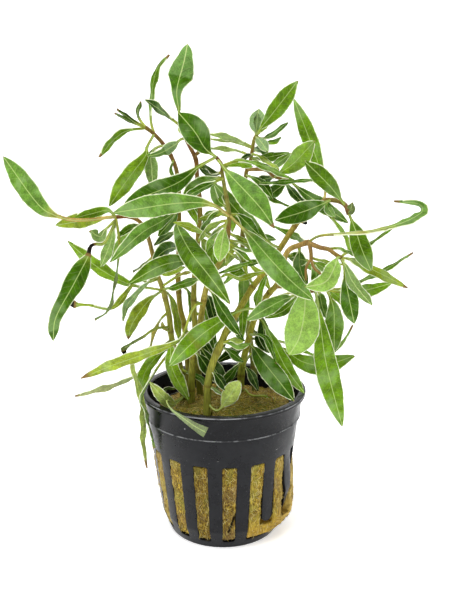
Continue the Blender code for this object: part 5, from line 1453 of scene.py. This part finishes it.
def drained_floor():
    """The floor disc with its eight drain slots."""
    shape = bmesh.new()
    sector = math.tau / DRAIN_COUNT
    rows = []
    for radius in FLOOR_ROWS:
        row = []
        half = math.asin(DRAIN_WIDTH / 2 / max(radius, DRAIN_REACH[0]))
        for drain in range(DRAIN_COUNT):
            for offset in (-sector / 2, -sector / 4, -half, half, sector / 4):
                row.append(shape.verts.new(around(sector * drain + offset, radius, BASE_THICKNESS)))
        rows.append(row)
    columns = DRAIN_COUNT * DRAIN_COLUMNS
    for near, far, inner, outer in zip(FLOOR_ROWS, FLOOR_ROWS[1:], rows, rows[1:]):
        for i in range(columns):
            if i % DRAIN_COLUMNS == DRAIN_OPENING and near >= DRAIN_REACH[0] and far <= DRAIN_REACH[1]:
                continue
            j = (i + 1) % columns
            shape.faces.new((inner[i], inner[j], outer[j], outer[i]))
    shape.faces.new(rows[0])
    bmesh.ops.recalc_face_normals(shape, faces=shape.faces)
    if shape.faces[0].normal.z < 0:
        bmesh.ops.reverse_faces(shape, faces=shape.faces)
    return rounded(from_bmesh("pot_floor", shape), BASE_THICKNESS, FLOOR_BEVEL)


def joined(name, pieces):
    """Several objects as one mesh object."""
    shape = bmesh.new()
    for piece in pieces:
        shape.from_mesh(piece.data)
        bpy.data.objects.remove(piece)
    return as_object(name, shape)


# The rim, its band and the lip of the step. The rim's outer corner is round, through 30 and 60 degrees.
rim_outline = [
    (WALL_TOP_RADIUS - WALL, BAND_FOOT_HEIGHT),
    (BAND_FOOT_RADIUS + BAND_LIP, BAND_FOOT_HEIGHT),
    (BAND_FOOT_RADIUS + BAND_LIP, BAND_FOOT_HEIGHT + BAND_LIP),
    (BAND_FOOT_RADIUS, BAND_FOOT_HEIGHT + 2 * BAND_LIP),
    (BAND_RADIUS, POT_HEIGHT - RIM_THICKNESS),
    (RIM_RADIUS, POT_HEIGHT - RIM_THICKNESS),
    (RIM_RADIUS, POT_HEIGHT - RIM_ROUND),
    (RIM_RADIUS - RIM_ROUND * 0.13, POT_HEIGHT - RIM_ROUND * 0.5),
    (RIM_RADIUS - RIM_ROUND * 0.5, POT_HEIGHT - RIM_ROUND * 0.13),
    (RIM_RADIUS - RIM_ROUND, POT_HEIGHT),
    (BAND_RADIUS - WALL, POT_HEIGHT),
    (BAND_FOOT_RADIUS - WALL, BAND_FOOT_HEIGHT + 1.0),
]
net_pot = joined("net_pot", [
    slotted_wall(), turned_ring("pot_rim", rim_outline, RIM_SEGMENTS, RIM_BEVEL), drained_floor()])
print("net pot:", len(net_pot.data.polygons), "faces")

# %% [markdown]
# ## Black polypropylene, moulded and wet
#
# Polypropylene (IOR 1.49) comes out of the mould satin, because the mould's own surface is finely
# textured. On this pot it is wet, so its sheen changes in patches and streaks. The band is painted
# darker and the rim darker still, as painted shade. Small black beads of water and a few pale specks
# of dust lie on it, and a thin pale line of painted highlight runs along the step and along the rim.
# The texture of a mould is finer than 0.1 mm, and is drawn at 0.3 mm so it shows.

# %% Finish of the pot
MOULD_GRAIN = 0.3
WET_GRAIN = 5.0
SPECK_SPACING = 2.4
BEAD_SPACING = 3.0
BEAD_SIZES = (0.12, 0.17)

# Heights in metres: lines of painted highlight with their strength, and where the painted shade on the band
# and on the rim starts, with its shade.
PAINTED_HIGHLIGHT_LINES = (((BAND_FOOT_HEIGHT + BAND_LIP) * MM, 0.4), ((POT_HEIGHT - 0.3) * MM, 0.45))
PAINTED_HIGHLIGHT_HALF = (0.08 * MM, 0.24 * MM)
PAINTED_SHADE_BAND = (BAND_FOOT_HEIGHT * MM, 0.66)
PAINTED_SHADE_RIM = ((POT_HEIGHT - RIM_THICKNESS - 0.4) * MM, 0.5)
PAINTED_SHADE_FADE = 0.3 * MM


def painted_highlight_over(tree, colour, height, wet):
    """Thin pale lines of painted highlight at their heights, strong in some places and weak in others."""
    uneven = add_node(tree, RANGE, SOFT, {
        "Value": wet, "From Min": 0.42, "From Max": 0.54, "To Min": 0.15, "To Max": 1.0})
    for level, strength in PAINTED_HIGHLIGHT_LINES:
        above = add_node(tree, MATH, {"operation": "SUBTRACT"}, {0: height, 1: level})
        near = add_node(tree, RANGE, SOFT, {
            "Value": add_node(tree, MATH, {"operation": "ABSOLUTE"}, {0: above}),
            "From Min": PAINTED_HIGHLIGHT_HALF[0], "From Max": PAINTED_HIGHLIGHT_HALF[1], "To Min": strength, "To Max": 0.0})
        # The pale line here is painted highlight.
        lime = add_node(tree, MATH, TIMES, {0: near, 1: uneven})
        colour = add_node(tree, MIX, COLOURS, {0: lime, 6: colour, 7: linear("#C0C2C4")})
    return colour


def black_polypropylene():
    """Satin black plastic with wet patches, beads of water, a few specks, painted shade on the band and rim,
    and lines of painted highlight.
    """
    finish, tree, shader = new_finish("moulded black polypropylene", {
        "Metallic": 0.0, "IOR": 1.49, "Specular IOR Level": 0.2})
    place = add_node(tree, "ShaderNodeTexCoord").outputs["Object"]
    grain = add_node(tree, NOISE, None, {"Vector": place, "Scale": 1 / (MOULD_GRAIN * MM), "Detail": 2.0})
    wet = add_node(tree, NOISE, None, {
        "Vector": place, "Scale": 1 / (WET_GRAIN * MM), "Detail": 5.0, "Roughness": 0.65})
    specks = add_node(tree, "ShaderNodeTexVoronoi", None, {
        "Vector": place, "Scale": 1 / (SPECK_SPACING * MM)})
    wetness = add_node(tree, RANGE, SOFT, {
        "Value": wet, "From Min": 0.35, "From Max": 0.65, "To Min": 0.0, "To Max": 1.0})
    colour = add_node(tree, MIX, COLOURS, {0: wetness, 6: linear("#18191D"), 7: linear("#0C0D12")})
    colour = lay_over(tree, colour, "#77797B", specks, (0.03, 0.06), (0.5, 0.0))
    cells = add_node(tree, "ShaderNodeTexVoronoi", None, {
        "Vector": place, "Scale": 1 / (BEAD_SPACING * MM)})
    bead = add_node(tree, RANGE, SOFT, {
        "Value": cells, "From Min": BEAD_SIZES[0], "From Max": BEAD_SIZES[1], "To Min": 0.9, "To Max": 0.0})
    bead = add_node(tree, MATH, TIMES, {0: bead, 1: wetness})
    colour = add_node(tree, MIX, COLOURS, {0: bead, 6: colour, 7: linear("#040406")})
    height = add_node(tree, "ShaderNodeSeparateXYZ", None, {"Vector": place}).outputs["Z"]
    # Painted shade: the band is painted darker above the step, and the rim darker still.
    for level, shade in (PAINTED_SHADE_BAND, PAINTED_SHADE_RIM):
        darker = add_node(tree, RANGE, SOFT, {
            "Value": height, "From Min": level, "From Max": level + PAINTED_SHADE_FADE, "To Min": 1.0,
            "To Max": shade})
        colour = add_node(tree, MIX, SHADED, {0: 1.0, 6: colour, 7: darker})
    # Painted highlight: pale lines along the step and along the rim's edge.
    colour = painted_highlight_over(tree, colour, height, wet)
    gloss = add_node(tree, RANGE, SOFT, {
        "Value": wet, "From Min": 0.4, "From Max": 0.62, "To Min": 0.4, "To Max": 0.22})
    bump = add_node(tree, BUMP, None, {"Height": grain, "Strength": 0.25, "Distance": 0.00005})
    plug_in(tree, shader, {"Base Color": colour, "Roughness": gloss, "Normal": bump})
    return finish


net_pot.data.materials.clear()
net_pot.data.materials.append(black_polypropylene())
put_on(net_pot, "pot", "pot")

# %% [markdown]
# ## The rockwool plug
#
# Rockwool is spun stone: a mat of fine fibres that holds water. On the real plug it fills the slots
# from behind, bulges out where the bars are broken, and its top is lumpy. The solid already has that
# form. So its mesh is copied, cut into small even faces and roughened with two sizes of noise. In a slot
# it presses against the bars on both sides and is level with them, it ends just above the slot's lower
# edge, and a crack runs down it in the front slot.

# %% Rough body of the rockwool
# The size of a face in mm, how deep the skin lies in a slot, how much it spreads there, and the noises.
WOOL_FACE = 0.42
WOOL_RECESS = 0.05
SLOT_FILL = 0.25
WOOL_COARSE = 0.42
WOOL_FINE = 1.7

# Heights in mm of the wool's foot in a slot and of its top, and the slot that is empty above a height.
WOOL_FOOT = 3.3
PLUG_TOP = 42.4
EMPTY_SLOT = 3
EMPTY_ABOVE = 22.5

# The crack's route in the view, half its width and its depth.
CRACK = ((236.5, 513.0, -21.4), (232.5, 522.0, -20.8), (229.0, 532.0, -20.0))
CRACK_HALF = 0.6
CRACK_DEPTH = 1.5

# How far the top rises and its noise moves it, and how far the noise moves the sides, in mm.
TOP_EDGE = PLUG_TOP - 4.0
TOP_RISE = 0.1
TOP_ROUGH = (0.75, 0.3)
SIDE_ROUGH = (0.34, 0.26)
UNDER_ROUGH = (0.05, 0.2)
FOOT_WAVE = 0.3
FINE_SHIFT = Vector((7.0, 3.0, 1.0))

# The wool in the slots, from the wall's inside: where its skin starts, and how deep it can lie.
SLOT_START = 0.25
EMPTY_DEPTH = 0.6
DEEPEST = 0.9
BELOW_WALL = 0.06
BULGE_OUT = 1.15

crack_route = [seen_at(*place) for place in CRACK]


def crack_at(place):
    """How much of the crack is here: 1 in its middle and 0 beside it. It runs through the wool."""
    near = nearest_on([crack_route], place)
    away = math.hypot(near.x - place.x, near.z - place.z)
    if place.y > 0:
        return 0.0
    return max(0.0, 1.0 - away / CRACK_HALF)


def wool_place(place, normal):
    """Where a point of the plug's skin goes: out by noise, and in behind the bars."""
    coarse = noise.noise(place * WOOL_COARSE)
    fine = noise.noise(place * WOOL_FINE + FINE_SHIFT)
    if place.z > TOP_EDGE:
        return place + normal * (TOP_RISE + TOP_ROUGH[0] * coarse + TOP_ROUGH[1] * fine)
    angle = math.atan2(place.x, -place.y)
    out = math.hypot(place.x, place.y)
    inside = wall_radius(place.z) - WALL - SLOT_START
    if out < inside:
        return place + normal * min(UNDER_ROUGH[0], UNDER_ROUGH[1] * coarse)
    bulge = bulge_at(angle, place.z)
    reach = out - WOOL_RECESS * (1.0 - min(1.0, bulge)) + SIDE_ROUGH[0] * coarse + SIDE_ROUGH[1] * fine
    reach -= CRACK_DEPTH * crack_at(place)
    slot = round((angle - SLOT_TURN) / SECTOR)
    below = place.z < WOOL_FOOT + FOOT_WAVE * coarse
    if below or (slot == EMPTY_SLOT and place.z > EMPTY_ABOVE + coarse):
        reach = inside - EMPTY_DEPTH
    reach = max(inside - DEEPEST, min(reach, wall_radius(place.z) - BELOW_WALL + BULGE_OUT * bulge))
    middle = SLOT_TURN + slot * SECTOR
    filled = 1.0 + SLOT_FILL * max(0.0, 1.0 - 2 * bulge)
    return around(middle + (angle - middle) * filled, reach, place.z)


def wool_body():
    """The solid's own form in small even faces, roughened."""
    made = add_object("rockwool_plug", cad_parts["rockwool"].data.copy())
    cut = made.modifiers.new("even faces", "REMESH")
    cut.mode = "VOXEL"
    cut.voxel_size = WOOL_FACE * MM
    cut.use_smooth_shade = True
    made = evaluated(made)
    mesh = made.data
    normals = [vertex.normal.copy() for vertex in mesh.vertices]
    # How much of the crack is at each point, for the finish, which paints the crack dark as painted shade.
    crack_shade = mesh.attributes.new("crack_shade", "FLOAT", "POINT")
    for k, (vertex, normal) in enumerate(zip(mesh.vertices, normals)):
        crack_shade.data[k].value = crack_at(vertex.co / MM)
        vertex.co = wool_place(vertex.co / MM, normal) * MM
    mesh.polygons.foreach_set("use_smooth", [True] * len(mesh.polygons))
    return made


# %% [markdown]
# ## Loose fibres
#
# Hair curves would be lost when the part is kept as a mesh, so each fibre is a thin three-sided tube
# that lies along the wool and arches a little off it. They are strewn by face area with a fixed
# seed, only where the wool can be seen: in the slots, on the bulge and on the top. In a slot a fibre
# that would cross a bar is turned upright instead. Real fibres are under 0.01 mm thick, too fine to
# show, so they are drawn at about 0.1 mm.

# %% Strew the fibres
FIBRE_COUNT = 8200
FIBRE_RADIUS = 0.055
FIBRE_LENGTHS = (0.8, 2.6)
FIBRE_SEED = 7
FIBRE_RINGS = 4
FIBRE_BEND = 0.3
FIBRE_LIFT = (-0.05, 0.1)
FIBRE_ARCH = (0.08, 0.3)
FIBRE_TAPER = 1.6
FIBRE_SHADES = ("#E2CC6A", "#CDB040", "#AE8C30", "#6E5420", "#EADA94")
THREE_SIDES = (0.0, math.tau / 3, math.tau * 2 / 3)
UP = Vector((0.0, 0.0, 1.0))

# Where fibres lie: on the top's faces that face up, and in the slots, but not in the crack.
FIBRES_TOP = PLUG_TOP - 3.2
FACING_UP = 0.2
CRACK_BARE = 0.3

# Past this much bulge a fibre lies any way. In a slot it stays this far from the bars.
FREE_BULGE = 1.2
BAR_CLEAR = 0.2
LEAST_ROOM = 0.05
MOST_ACROSS = 0.95


def fibre_way(dice, place, normal, length):
    """A direction for a fibre that keeps it clear of the bars."""
    way = normal.orthogonal().normalized()
    way.rotate(Matrix.Rotation(dice.uniform(0, math.tau), 3, normal))
    angle = math.atan2(place.x, -place.y)
    if place.z > SLOT_TOP or bulge_at(angle, place.z) > FREE_BULGE:
        return way
    slot = round((angle - SLOT_TURN) / SECTOR)
    from_middle = abs(angle - SLOT_TURN - slot * SECTOR) * wall_radius(place.z)
    sideways = Vector((math.cos(angle), math.sin(angle), 0.0))
    opening = slot_half_width(min(max(place.z, SLOT_BOTTOM), SLOT_TOP))
    room = max(LEAST_ROOM, opening - BAR_CLEAR - from_middle)
    most = min(MOST_ACROSS, 2 * room / length)
    across = max(-most, min(most, way.dot(sideways)))
    return (sideways * across + UP * math.sqrt(1 - across * across)).normalized()


def lay_fibre(growth, dice, face, shades):
    """Adds one bent fibre that lies over a face, as four rings of three points."""
    place = face.center / MM
    normal = face.normal.copy()
    length = dice.uniform(*FIBRE_LENGTHS)
    way = fibre_way(dice, place, normal, length)
    over = normal.cross(way).normalized()
    bend = dice.uniform(-FIBRE_BEND, FIBRE_BEND)
    middle = place + normal * dice.uniform(*FIBRE_LIFT)
    tint = dice.choice(shades)
    rings = []
    for k in range(FIBRE_RINGS):
        t = k / (FIBRE_RINGS - 1) - 0.5
        point = middle + way * (t * length) + over * (bend * length * t * t * 2)
        point += normal * (FIBRE_ARCH[0] - FIBRE_ARCH[1] * t * t)
        radius = FIBRE_RADIUS * (1.0 - FIBRE_TAPER * t * t)
        rings.append([growth.point(
            point + (over * math.cos(turn) + normal * math.sin(turn)) * radius, tint)
            for turn in THREE_SIDES])
    for lower, upper in zip(rings, rings[1:]):
        growth.bridge(lower, upper, [0, 0, 0])
    growth.face(tuple(rings[0][::-1]))
    growth.face(tuple(rings[-1]))


def wool_fibres(body):
    """Fibres over the wool's open faces, as one growth."""
    dice = random.Random(FIBRE_SEED)
    open_faces = []
    weights = []
    for face in body.data.polygons:
        place = face.center / MM
        out = math.hypot(place.x, place.y)
        in_slot = out > wall_radius(place.z) - WALL and WOOL_FOOT < place.z < SLOT_TOP
        on_top = place.z > FIBRES_TOP and face.normal.z > FACING_UP
        if (in_slot and crack_at(place) < CRACK_BARE) or on_top:
            open_faces.append(face)
            weights.append(face.area)
    growth = Growth()
    shades = [np.array(linear(colour)) for colour in FIBRE_SHADES]
    for face in dice.choices(open_faces, weights, k=FIBRE_COUNT):
        lay_fibre(growth, dice, face, shades)
    print(FIBRE_COUNT, "fibres over", len(open_faces), "open faces")
    return growth


# %% [markdown]
# ## Wet stone wool, and its fibres
#
# The wool is golden tan and turns olive and brown in patches of about a centimetre, with dark specks
# of soil. It is wettest and darkest in the front slots, golden low on the right and pale on the left,
# and its right side is painted paler as painted light. The front of its top is green with algae. Each
# strand is drawn about 0.4 mm wide, far coarser than the real one, by three stretched noises laid in
# three directions. Stone fibre has an IOR near 1.5, and matted and wet it is rough, about 0.85.

# %% Finish of the rockwool
WOOL_STRAND = 0.4
STRAND_STRETCH = 5.0
STRAND_TURNS = (0.4, 1.5, 2.5)
STRAND_TILT = 0.7
WOOL_PATCH = 7.0
WOOL_SPECK = 0.7

# Where each tone starts and ends, in metres.
ALGAE_HEIGHTS = (0.0405, 0.0425)
ALGAE_DEPTHS = (-0.006, 0.006)
PAINTED_LIGHT_RIGHT = (0.016, 0.021)
PALE_FROM = (-0.018, -0.013)
GOLD_BELOW = (0.008, 0.013)
GOLD_FROM = (0.003, 0.007)
DAMP_MIDDLE = 0.0045
DAMP_HALF = (0.004, 0.011)
DAMP_DEPTHS = (-0.02, -0.014)


def wool_mat(tree, place):
    """The matted strands: the highest of three stretched noises, laid in three directions."""
    fine = 1 / (WOOL_STRAND * MM)
    mat = 0.0
    for turn in STRAND_TURNS:
        laid = add_node(tree, "ShaderNodeMapping", None, {
            "Vector": place, "Rotation": (turn, turn * STRAND_TILT, turn),
            "Scale": (fine, fine, fine / STRAND_STRETCH)})
        strands = add_node(tree, NOISE, None, {"Vector": laid, "Scale": 1.0, "Detail": 3.0})
        mat = add_node(tree, MATH, {"operation": "MAXIMUM"}, {0: strands, 1: mat})
    return mat


def wool_tones(tree, mat, patches, specks):
    """Golden strands over brown gaps, with tan and olive patches and specks of soil."""
    colour = lay_over(tree, linear("#6E5416"), "#E2C34A", mat, (0.5, 0.72), (0.0, 1.0))
    colour = lay_over(tree, colour, "#9A7E50", patches, (0.5, 0.66), (0.0, 0.6))
    colour = lay_over(tree, colour, "#96913A", patches, (0.36, 0.5), (0.7, 0.0))
    return lay_over(tree, colour, "#4A3518", specks, (0.58, 0.68), (0.0, 0.85))


def wool_sides(tree, colour, spot):
    """Dark where it is damp in front, painted paler on the right as painted light, pale on the left and
    golden low down.
    """
    aside = add_node(tree, MATH, {"operation": "ABSOLUTE"}, {
        0: add_node(tree, MATH, PLUS, {0: spot["X"], 1: DAMP_MIDDLE})})
    near = add_node(tree, RANGE, SOFT, {
        "Value": spot["Y"], "From Min": DAMP_DEPTHS[0], "From Max": DAMP_DEPTHS[1],
        "To Min": 1.0, "To Max": 0.0})
    damp = add_node(tree, RANGE, SOFT, {
        "Value": aside, "From Min": DAMP_HALF[0], "From Max": DAMP_HALF[1], "To Min": 0.6, "To Max": 0.0})
    damp = add_node(tree, MATH, TIMES, {0: damp, 1: near})
    colour = add_node(tree, MIX, SHADED, {0: damp, 6: colour, 7: linear("#8E8578")})
    # Painted light: the right side is painted paler, as where it is lit.
    colour = lay_over(tree, colour, "#E8CC7C", spot["X"], PAINTED_LIGHT_RIGHT, (0.0, 0.6))
    colour = lay_over(tree, colour, "#DCC488", spot["X"], PALE_FROM, (0.3, 0.0))
    low = add_node(tree, RANGE, SOFT, {
        "Value": spot["Z"], "From Min": GOLD_BELOW[0], "From Max": GOLD_BELOW[1],
        "To Min": 0.38, "To Max": 0.0})
    beside = add_node(tree, RANGE, SOFT, {
        "Value": spot["X"], "From Min": GOLD_FROM[0], "From Max": GOLD_FROM[1], "To Min": 0.0, "To Max": 1.0})
    gold = add_node(tree, MATH, TIMES, {0: low, 1: beside})
    return add_node(tree, MIX, COLOURS, {0: gold, 6: colour, 7: linear("#E2B848")})


def wool_algae(tree, colour, spot, specks):
    """Patchy green algae on the front of the top."""
    high = add_node(tree, RANGE, SOFT, {
        "Value": spot["Z"], "From Min": ALGAE_HEIGHTS[0], "From Max": ALGAE_HEIGHTS[1], "To Min": 0.0,
        "To Max": 0.8})
    front = add_node(tree, RANGE, SOFT, {
        "Value": spot["Y"], "From Min": ALGAE_DEPTHS[0], "From Max": ALGAE_DEPTHS[1], "To Min": 1.0,
        "To Max": 0.25})
    patchy = add_node(tree, RANGE, SOFT, {
        "Value": specks, "From Min": 0.35, "From Max": 0.6, "To Min": 0.35, "To Max": 1.0})
    algae = add_node(tree, MATH, TIMES, {0: high, 1: add_node(tree, MATH, TIMES, {0: front, 1: patchy})})
    return add_node(tree, MIX, COLOURS, {0: algae, 6: colour, 7: linear("#66721F")})


def mineral_wool():
    """Matted wet stone fibre: golden, with olive and brown patches, specks and a green front top."""
    finish, tree, shader = new_finish("wet mineral wool", {
        "Metallic": 0.0, "IOR": 1.5, "Specular IOR Level": 0.3, "Roughness": 0.85})
    place = add_node(tree, "ShaderNodeTexCoord").outputs["Object"]
    spot = add_node(tree, "ShaderNodeSeparateXYZ", None, {"Vector": place}).outputs
    mat = wool_mat(tree, place)
    patches = add_node(tree, NOISE, None, {"Vector": place, "Scale": 1 / (WOOL_PATCH * MM), "Detail": 3.0})
    specks = add_node(tree, NOISE, None, {"Vector": place, "Scale": 1 / (WOOL_SPECK * MM), "Detail": 2.0})
    crack_shade = add_node(tree, READ, {"attribute_name": "crack_shade"}).outputs["Fac"]
    colour = wool_sides(tree, wool_tones(tree, mat, patches, specks), spot)
    # Painted shade: the crack is painted near black inside.
    colour = lay_over(tree, colour, "#120F08", crack_shade, (0.25, 0.6), (0.0, 0.9))
    colour = wool_algae(tree, colour, spot, specks)
    height = add_node(tree, MATH, PLUS, {0: mat, 1: specks})
    bump = add_node(tree, BUMP, None, {"Height": height, "Strength": 0.9, "Distance": 0.0005})
    plug_in(tree, shader, {"Base Color": colour, "Normal": bump})
    return finish


def loose_fibre():
    """The strewn fibres, each in its own tint, a little darker where they are dirty."""
    finish, tree, shader = new_finish("loose stone fibre", {
        "Metallic": 0.0, "IOR": 1.5, "Specular IOR Level": 0.3, "Roughness": 0.6})
    place = add_node(tree, "ShaderNodeTexCoord").outputs["Object"]
    tint = add_node(tree, READ, {"attribute_name": "tint"}).outputs["Color"]
    patches = add_node(tree, NOISE, None, {"Vector": place, "Scale": 1 / (WOOL_PATCH * MM), "Detail": 3.0})
    shade = add_node(tree, RANGE, SOFT, {
        "Value": patches, "From Min": 0.4, "From Max": 0.62, "To Min": 1.0, "To Max": 0.72})
    colour = add_node(tree, MIX, SHADED, {0: 1.0, 6: tint, 7: shade})
    plug_in(tree, shader, {"Base Color": colour})
    return finish


wool = wool_body()
wool.data.materials.clear()
wool.data.materials.append(mineral_wool())
put_on(wool, "rockwool", "rockwool")
fibres = wool_fibres(wool).finished("rockwool_fibres", [loose_fibre()])
put_on(fibres, "rockwool")

# %% [markdown]
# ## Water
#
# A few drops stand on the wet pot, and one large drop sits on a leaf. A drop is a low dome of clear
# water (IOR 1.33) with a crisp highlight. A sphere would look like a bead, so each is flattened.

# %% Drops on the pot and on a leaf
DROP_SIDES = 14
DROP_RINGS = 5
DROP_COUNT = 16
DROP_RADII = (0.18, 0.5)
DROP_FLATNESS = 0.3
DROP_SUNK = 0.02
DROP_SEED = 11
FITTING_STEPS = 6
BELOW_STEP = (34, 38)
ON_BAND = (40, 46.5)

# The drop on a leaf: where it is seen, its radius and its height in mm.
LEAF_DROP = (195.0, 254.0, -9.6)
LEAF_DROP_SIZE = (1.1, 0.5)

# The larger drops on the pot's outside: column, row, radius and height in mm.
WALL_DROPS = ((218, 461, 0.42, 0.25), (277, 449, 0.3, 0.1))


def water():
    """Clear water, which bends the light that passes through it."""
    return new_finish("clear water", {
        "Base Color": WHITE, "Metallic": 0.0, "IOR": 1.33, "Roughness": 0.02, "Transmission Weight": 1.0})[0]


def add_drop(growth, place, out, radius, height):
    """A low dome on a surface that faces out."""
    side = out.orthogonal().normalized()
    over = out.cross(side)
    rings = []
    for level in range(DROP_RINGS):
        lean = math.pi / 2 * level / DROP_RINGS
        ring = []
        for k in range(DROP_SIDES):
            turn = math.tau * k / DROP_SIDES
            round_it = (side * math.cos(turn) + over * math.sin(turn)) * (radius * math.cos(lean))
            ring.append(growth.point(place + round_it + out * (height * math.sin(lean)), WHITE))
        rings.append(ring)
    top = growth.point(place + out * height, WHITE)
    for lower, upper in zip(rings, rings[1:]):
        growth.bridge(lower, upper, [0] * DROP_SIDES)
    for k in range(DROP_SIDES):
        growth.face((rings[-1][k], rings[-1][(k + 1) % DROP_SIDES], top))
    growth.face(tuple(rings[0][::-1]))


def outside_radius(height):
    """The pot's outer radius at this height, below its rim."""
    if height < BAND_FOOT_HEIGHT:
        return wall_radius(height)
    share = (height - BAND_FOOT_HEIGHT) / (POT_HEIGHT - RIM_THICKNESS - BAND_FOOT_HEIGHT)
    return BAND_FOOT_RADIUS + (BAND_RADIUS - BAND_FOOT_RADIUS) * share


def on_pot(column, row):
    """The angle and the height at which the view shows this place on the pot's outside."""
    depth = -WALL_TOP_RADIUS
    for _ in range(FITTING_STEPS):
        place = seen_at(column, row, depth)
        depth = -math.sqrt(max(1.0, outside_radius(place.z) ** 2 - place.x ** 2))
    return math.atan2(place.x, -depth), place.z


def strew_drops():
    """Small drops all round the pot, and the larger ones where they are seen."""
    growth = Growth()
    dice = random.Random(DROP_SEED)
    drops = []
    for _ in range(DROP_COUNT):
        angle = dice.uniform(0, math.tau)
        height = dice.choice((dice.uniform(*BELOW_STEP), dice.uniform(*ON_BAND), dice.uniform(*ON_BAND)))
        radius = dice.uniform(*DROP_RADII)
        drops.append((angle, height, radius, radius * DROP_FLATNESS))
    drops += [(*on_pot(column, row), radius, rise) for column, row, radius, rise in WALL_DROPS]
    for angle, height, radius, rise in drops:
        place = around(angle, outside_radius(height) - DROP_SUNK, height)
        add_drop(growth, place, around(angle, 1.0, 0.0), radius, rise)
    put_on(growth.finished("pot_drops", [water()]), "pot")


def leaf_drop():
    """One drop on a leaf, on the side that is seen."""
    growth = Growth()
    place = seen_at(*LEAF_DROP)
    add_drop(growth, place, (EYE - place).normalized(), *LEAF_DROP_SIZE)
    put_on(growth.finished("leaf_drop", [water()]), "leaf")


strew_drops()
leaf_drop()

# %% [markdown]
# ## Floor and light
#
# The plant stands on a pale floor that curves up behind it, in soft light from above with a little
# more from the left front. A weak lamp on the right and one behind keep the far sides from going black.

# %% Floor and light
FLOOR_HALF = 1.6
SWEEP_START = 0.5
SWEEP_RADIUS = 0.35
SWEEP_STEPS = 12
BACK_HEIGHT = 1.4
FLOOR_GLOW = 0.45
ROOM_GLOW = 0.28

# Lamps: name, place and target in metres, size in metres and power in watts.
LAMPS = (
    ("soft_top", (-0.15, -0.15, 0.85), (0.0, 0.0, 0.08), 0.45, 4.6),
    ("soft_left_front", (-0.5, -0.6, 0.6), (0.0, 0.0, 0.09), 0.4, 2.4),
    ("soft_right", (0.7, -0.3, 0.4), (0.0, 0.0, 0.08), 0.5, 1.3),
    ("soft_back", (0.1, 0.45, 0.6), (0.0, 0.0, 0.1), 0.5, 0.9),
)


def pale_floor():
    """A wide floor with a curved back, as one sheet."""
    outline = [(-FLOOR_HALF, 0.0), (0.0, 0.0), (SWEEP_START, 0.0)]
    for step in range(1, SWEEP_STEPS + 1):
        turn = math.pi / 2 * step / SWEEP_STEPS
        outline.append((SWEEP_START + SWEEP_RADIUS * math.sin(turn), SWEEP_RADIUS * (1 - math.cos(turn))))
    outline.append((SWEEP_START + SWEEP_RADIUS, BACK_HEIGHT))
    count = len(outline)
    points = [(x, y, z) for x in (-FLOOR_HALF, FLOOR_HALF) for y, z in outline]
    faces = [(count + k, count + k + 1, k + 1, k) for k in range(count - 1)]
    mesh = bpy.data.meshes.new("pale_floor")
    mesh.from_pydata(points, [], faces)
    mesh.polygons.foreach_set("use_smooth", [True] * len(faces))
    floor = add_object("pale_floor", mesh)
    mesh.materials.append(new_finish("matt white paper", {
        "Base Color": linear("#FDFDFD"), "Roughness": 0.9, "IOR": 1.45, "Specular IOR Level": 0.1,
        "Emission Color": WHITE, "Emission Strength": FLOOR_GLOW})[0])


def soft_lamp(name, place, target, size, power):
    """A square soft white light that faces its target."""
    lamp = bpy.data.lights.new(name, "AREA")
    lamp.shape = "SQUARE"
    lamp.size = size
    lamp.energy = power
    made = add_object(name, lamp)
    made.location = place
    made.rotation_euler = (Vector(target) - Vector(place)).to_track_quat("-Z", "Y").to_euler()


pale_floor()
for lamp in LAMPS:
    soft_lamp(*lamp)
world = bpy.data.worlds.new("white_room")
bpy.context.scene.world = world
world.use_nodes = True
plug_in(world.node_tree, world.node_tree.nodes["Background"], {"Color": WHITE, "Strength": ROOM_GLOW})
bpy.context.scene.view_settings.view_transform = "Standard"
print(len(LAMPS), "lamps")

# %% [markdown]
# ## The camera
#
# The camera is the eye that the places above were taken with. It looks down by 13 degrees, and its
# lens comes from the view's focus of 737 pixels on a frame of 470 by 596.

# %% Camera
SENSOR = 36.0

camera = bpy.data.cameras.new("camera")
camera.sensor_width = SENSOR
camera.lens = VIEW_FOCUS / VIEW_HIGH * SENSOR
camera_object = add_object("camera", camera)
camera_object.location = EYE * MM
camera_object.rotation_euler = (math.pi / 2 - VIEW_PITCH, 0.0, 0.0)
bpy.context.scene.camera = camera_object
print("lens", round(camera.lens, 2), "mm")
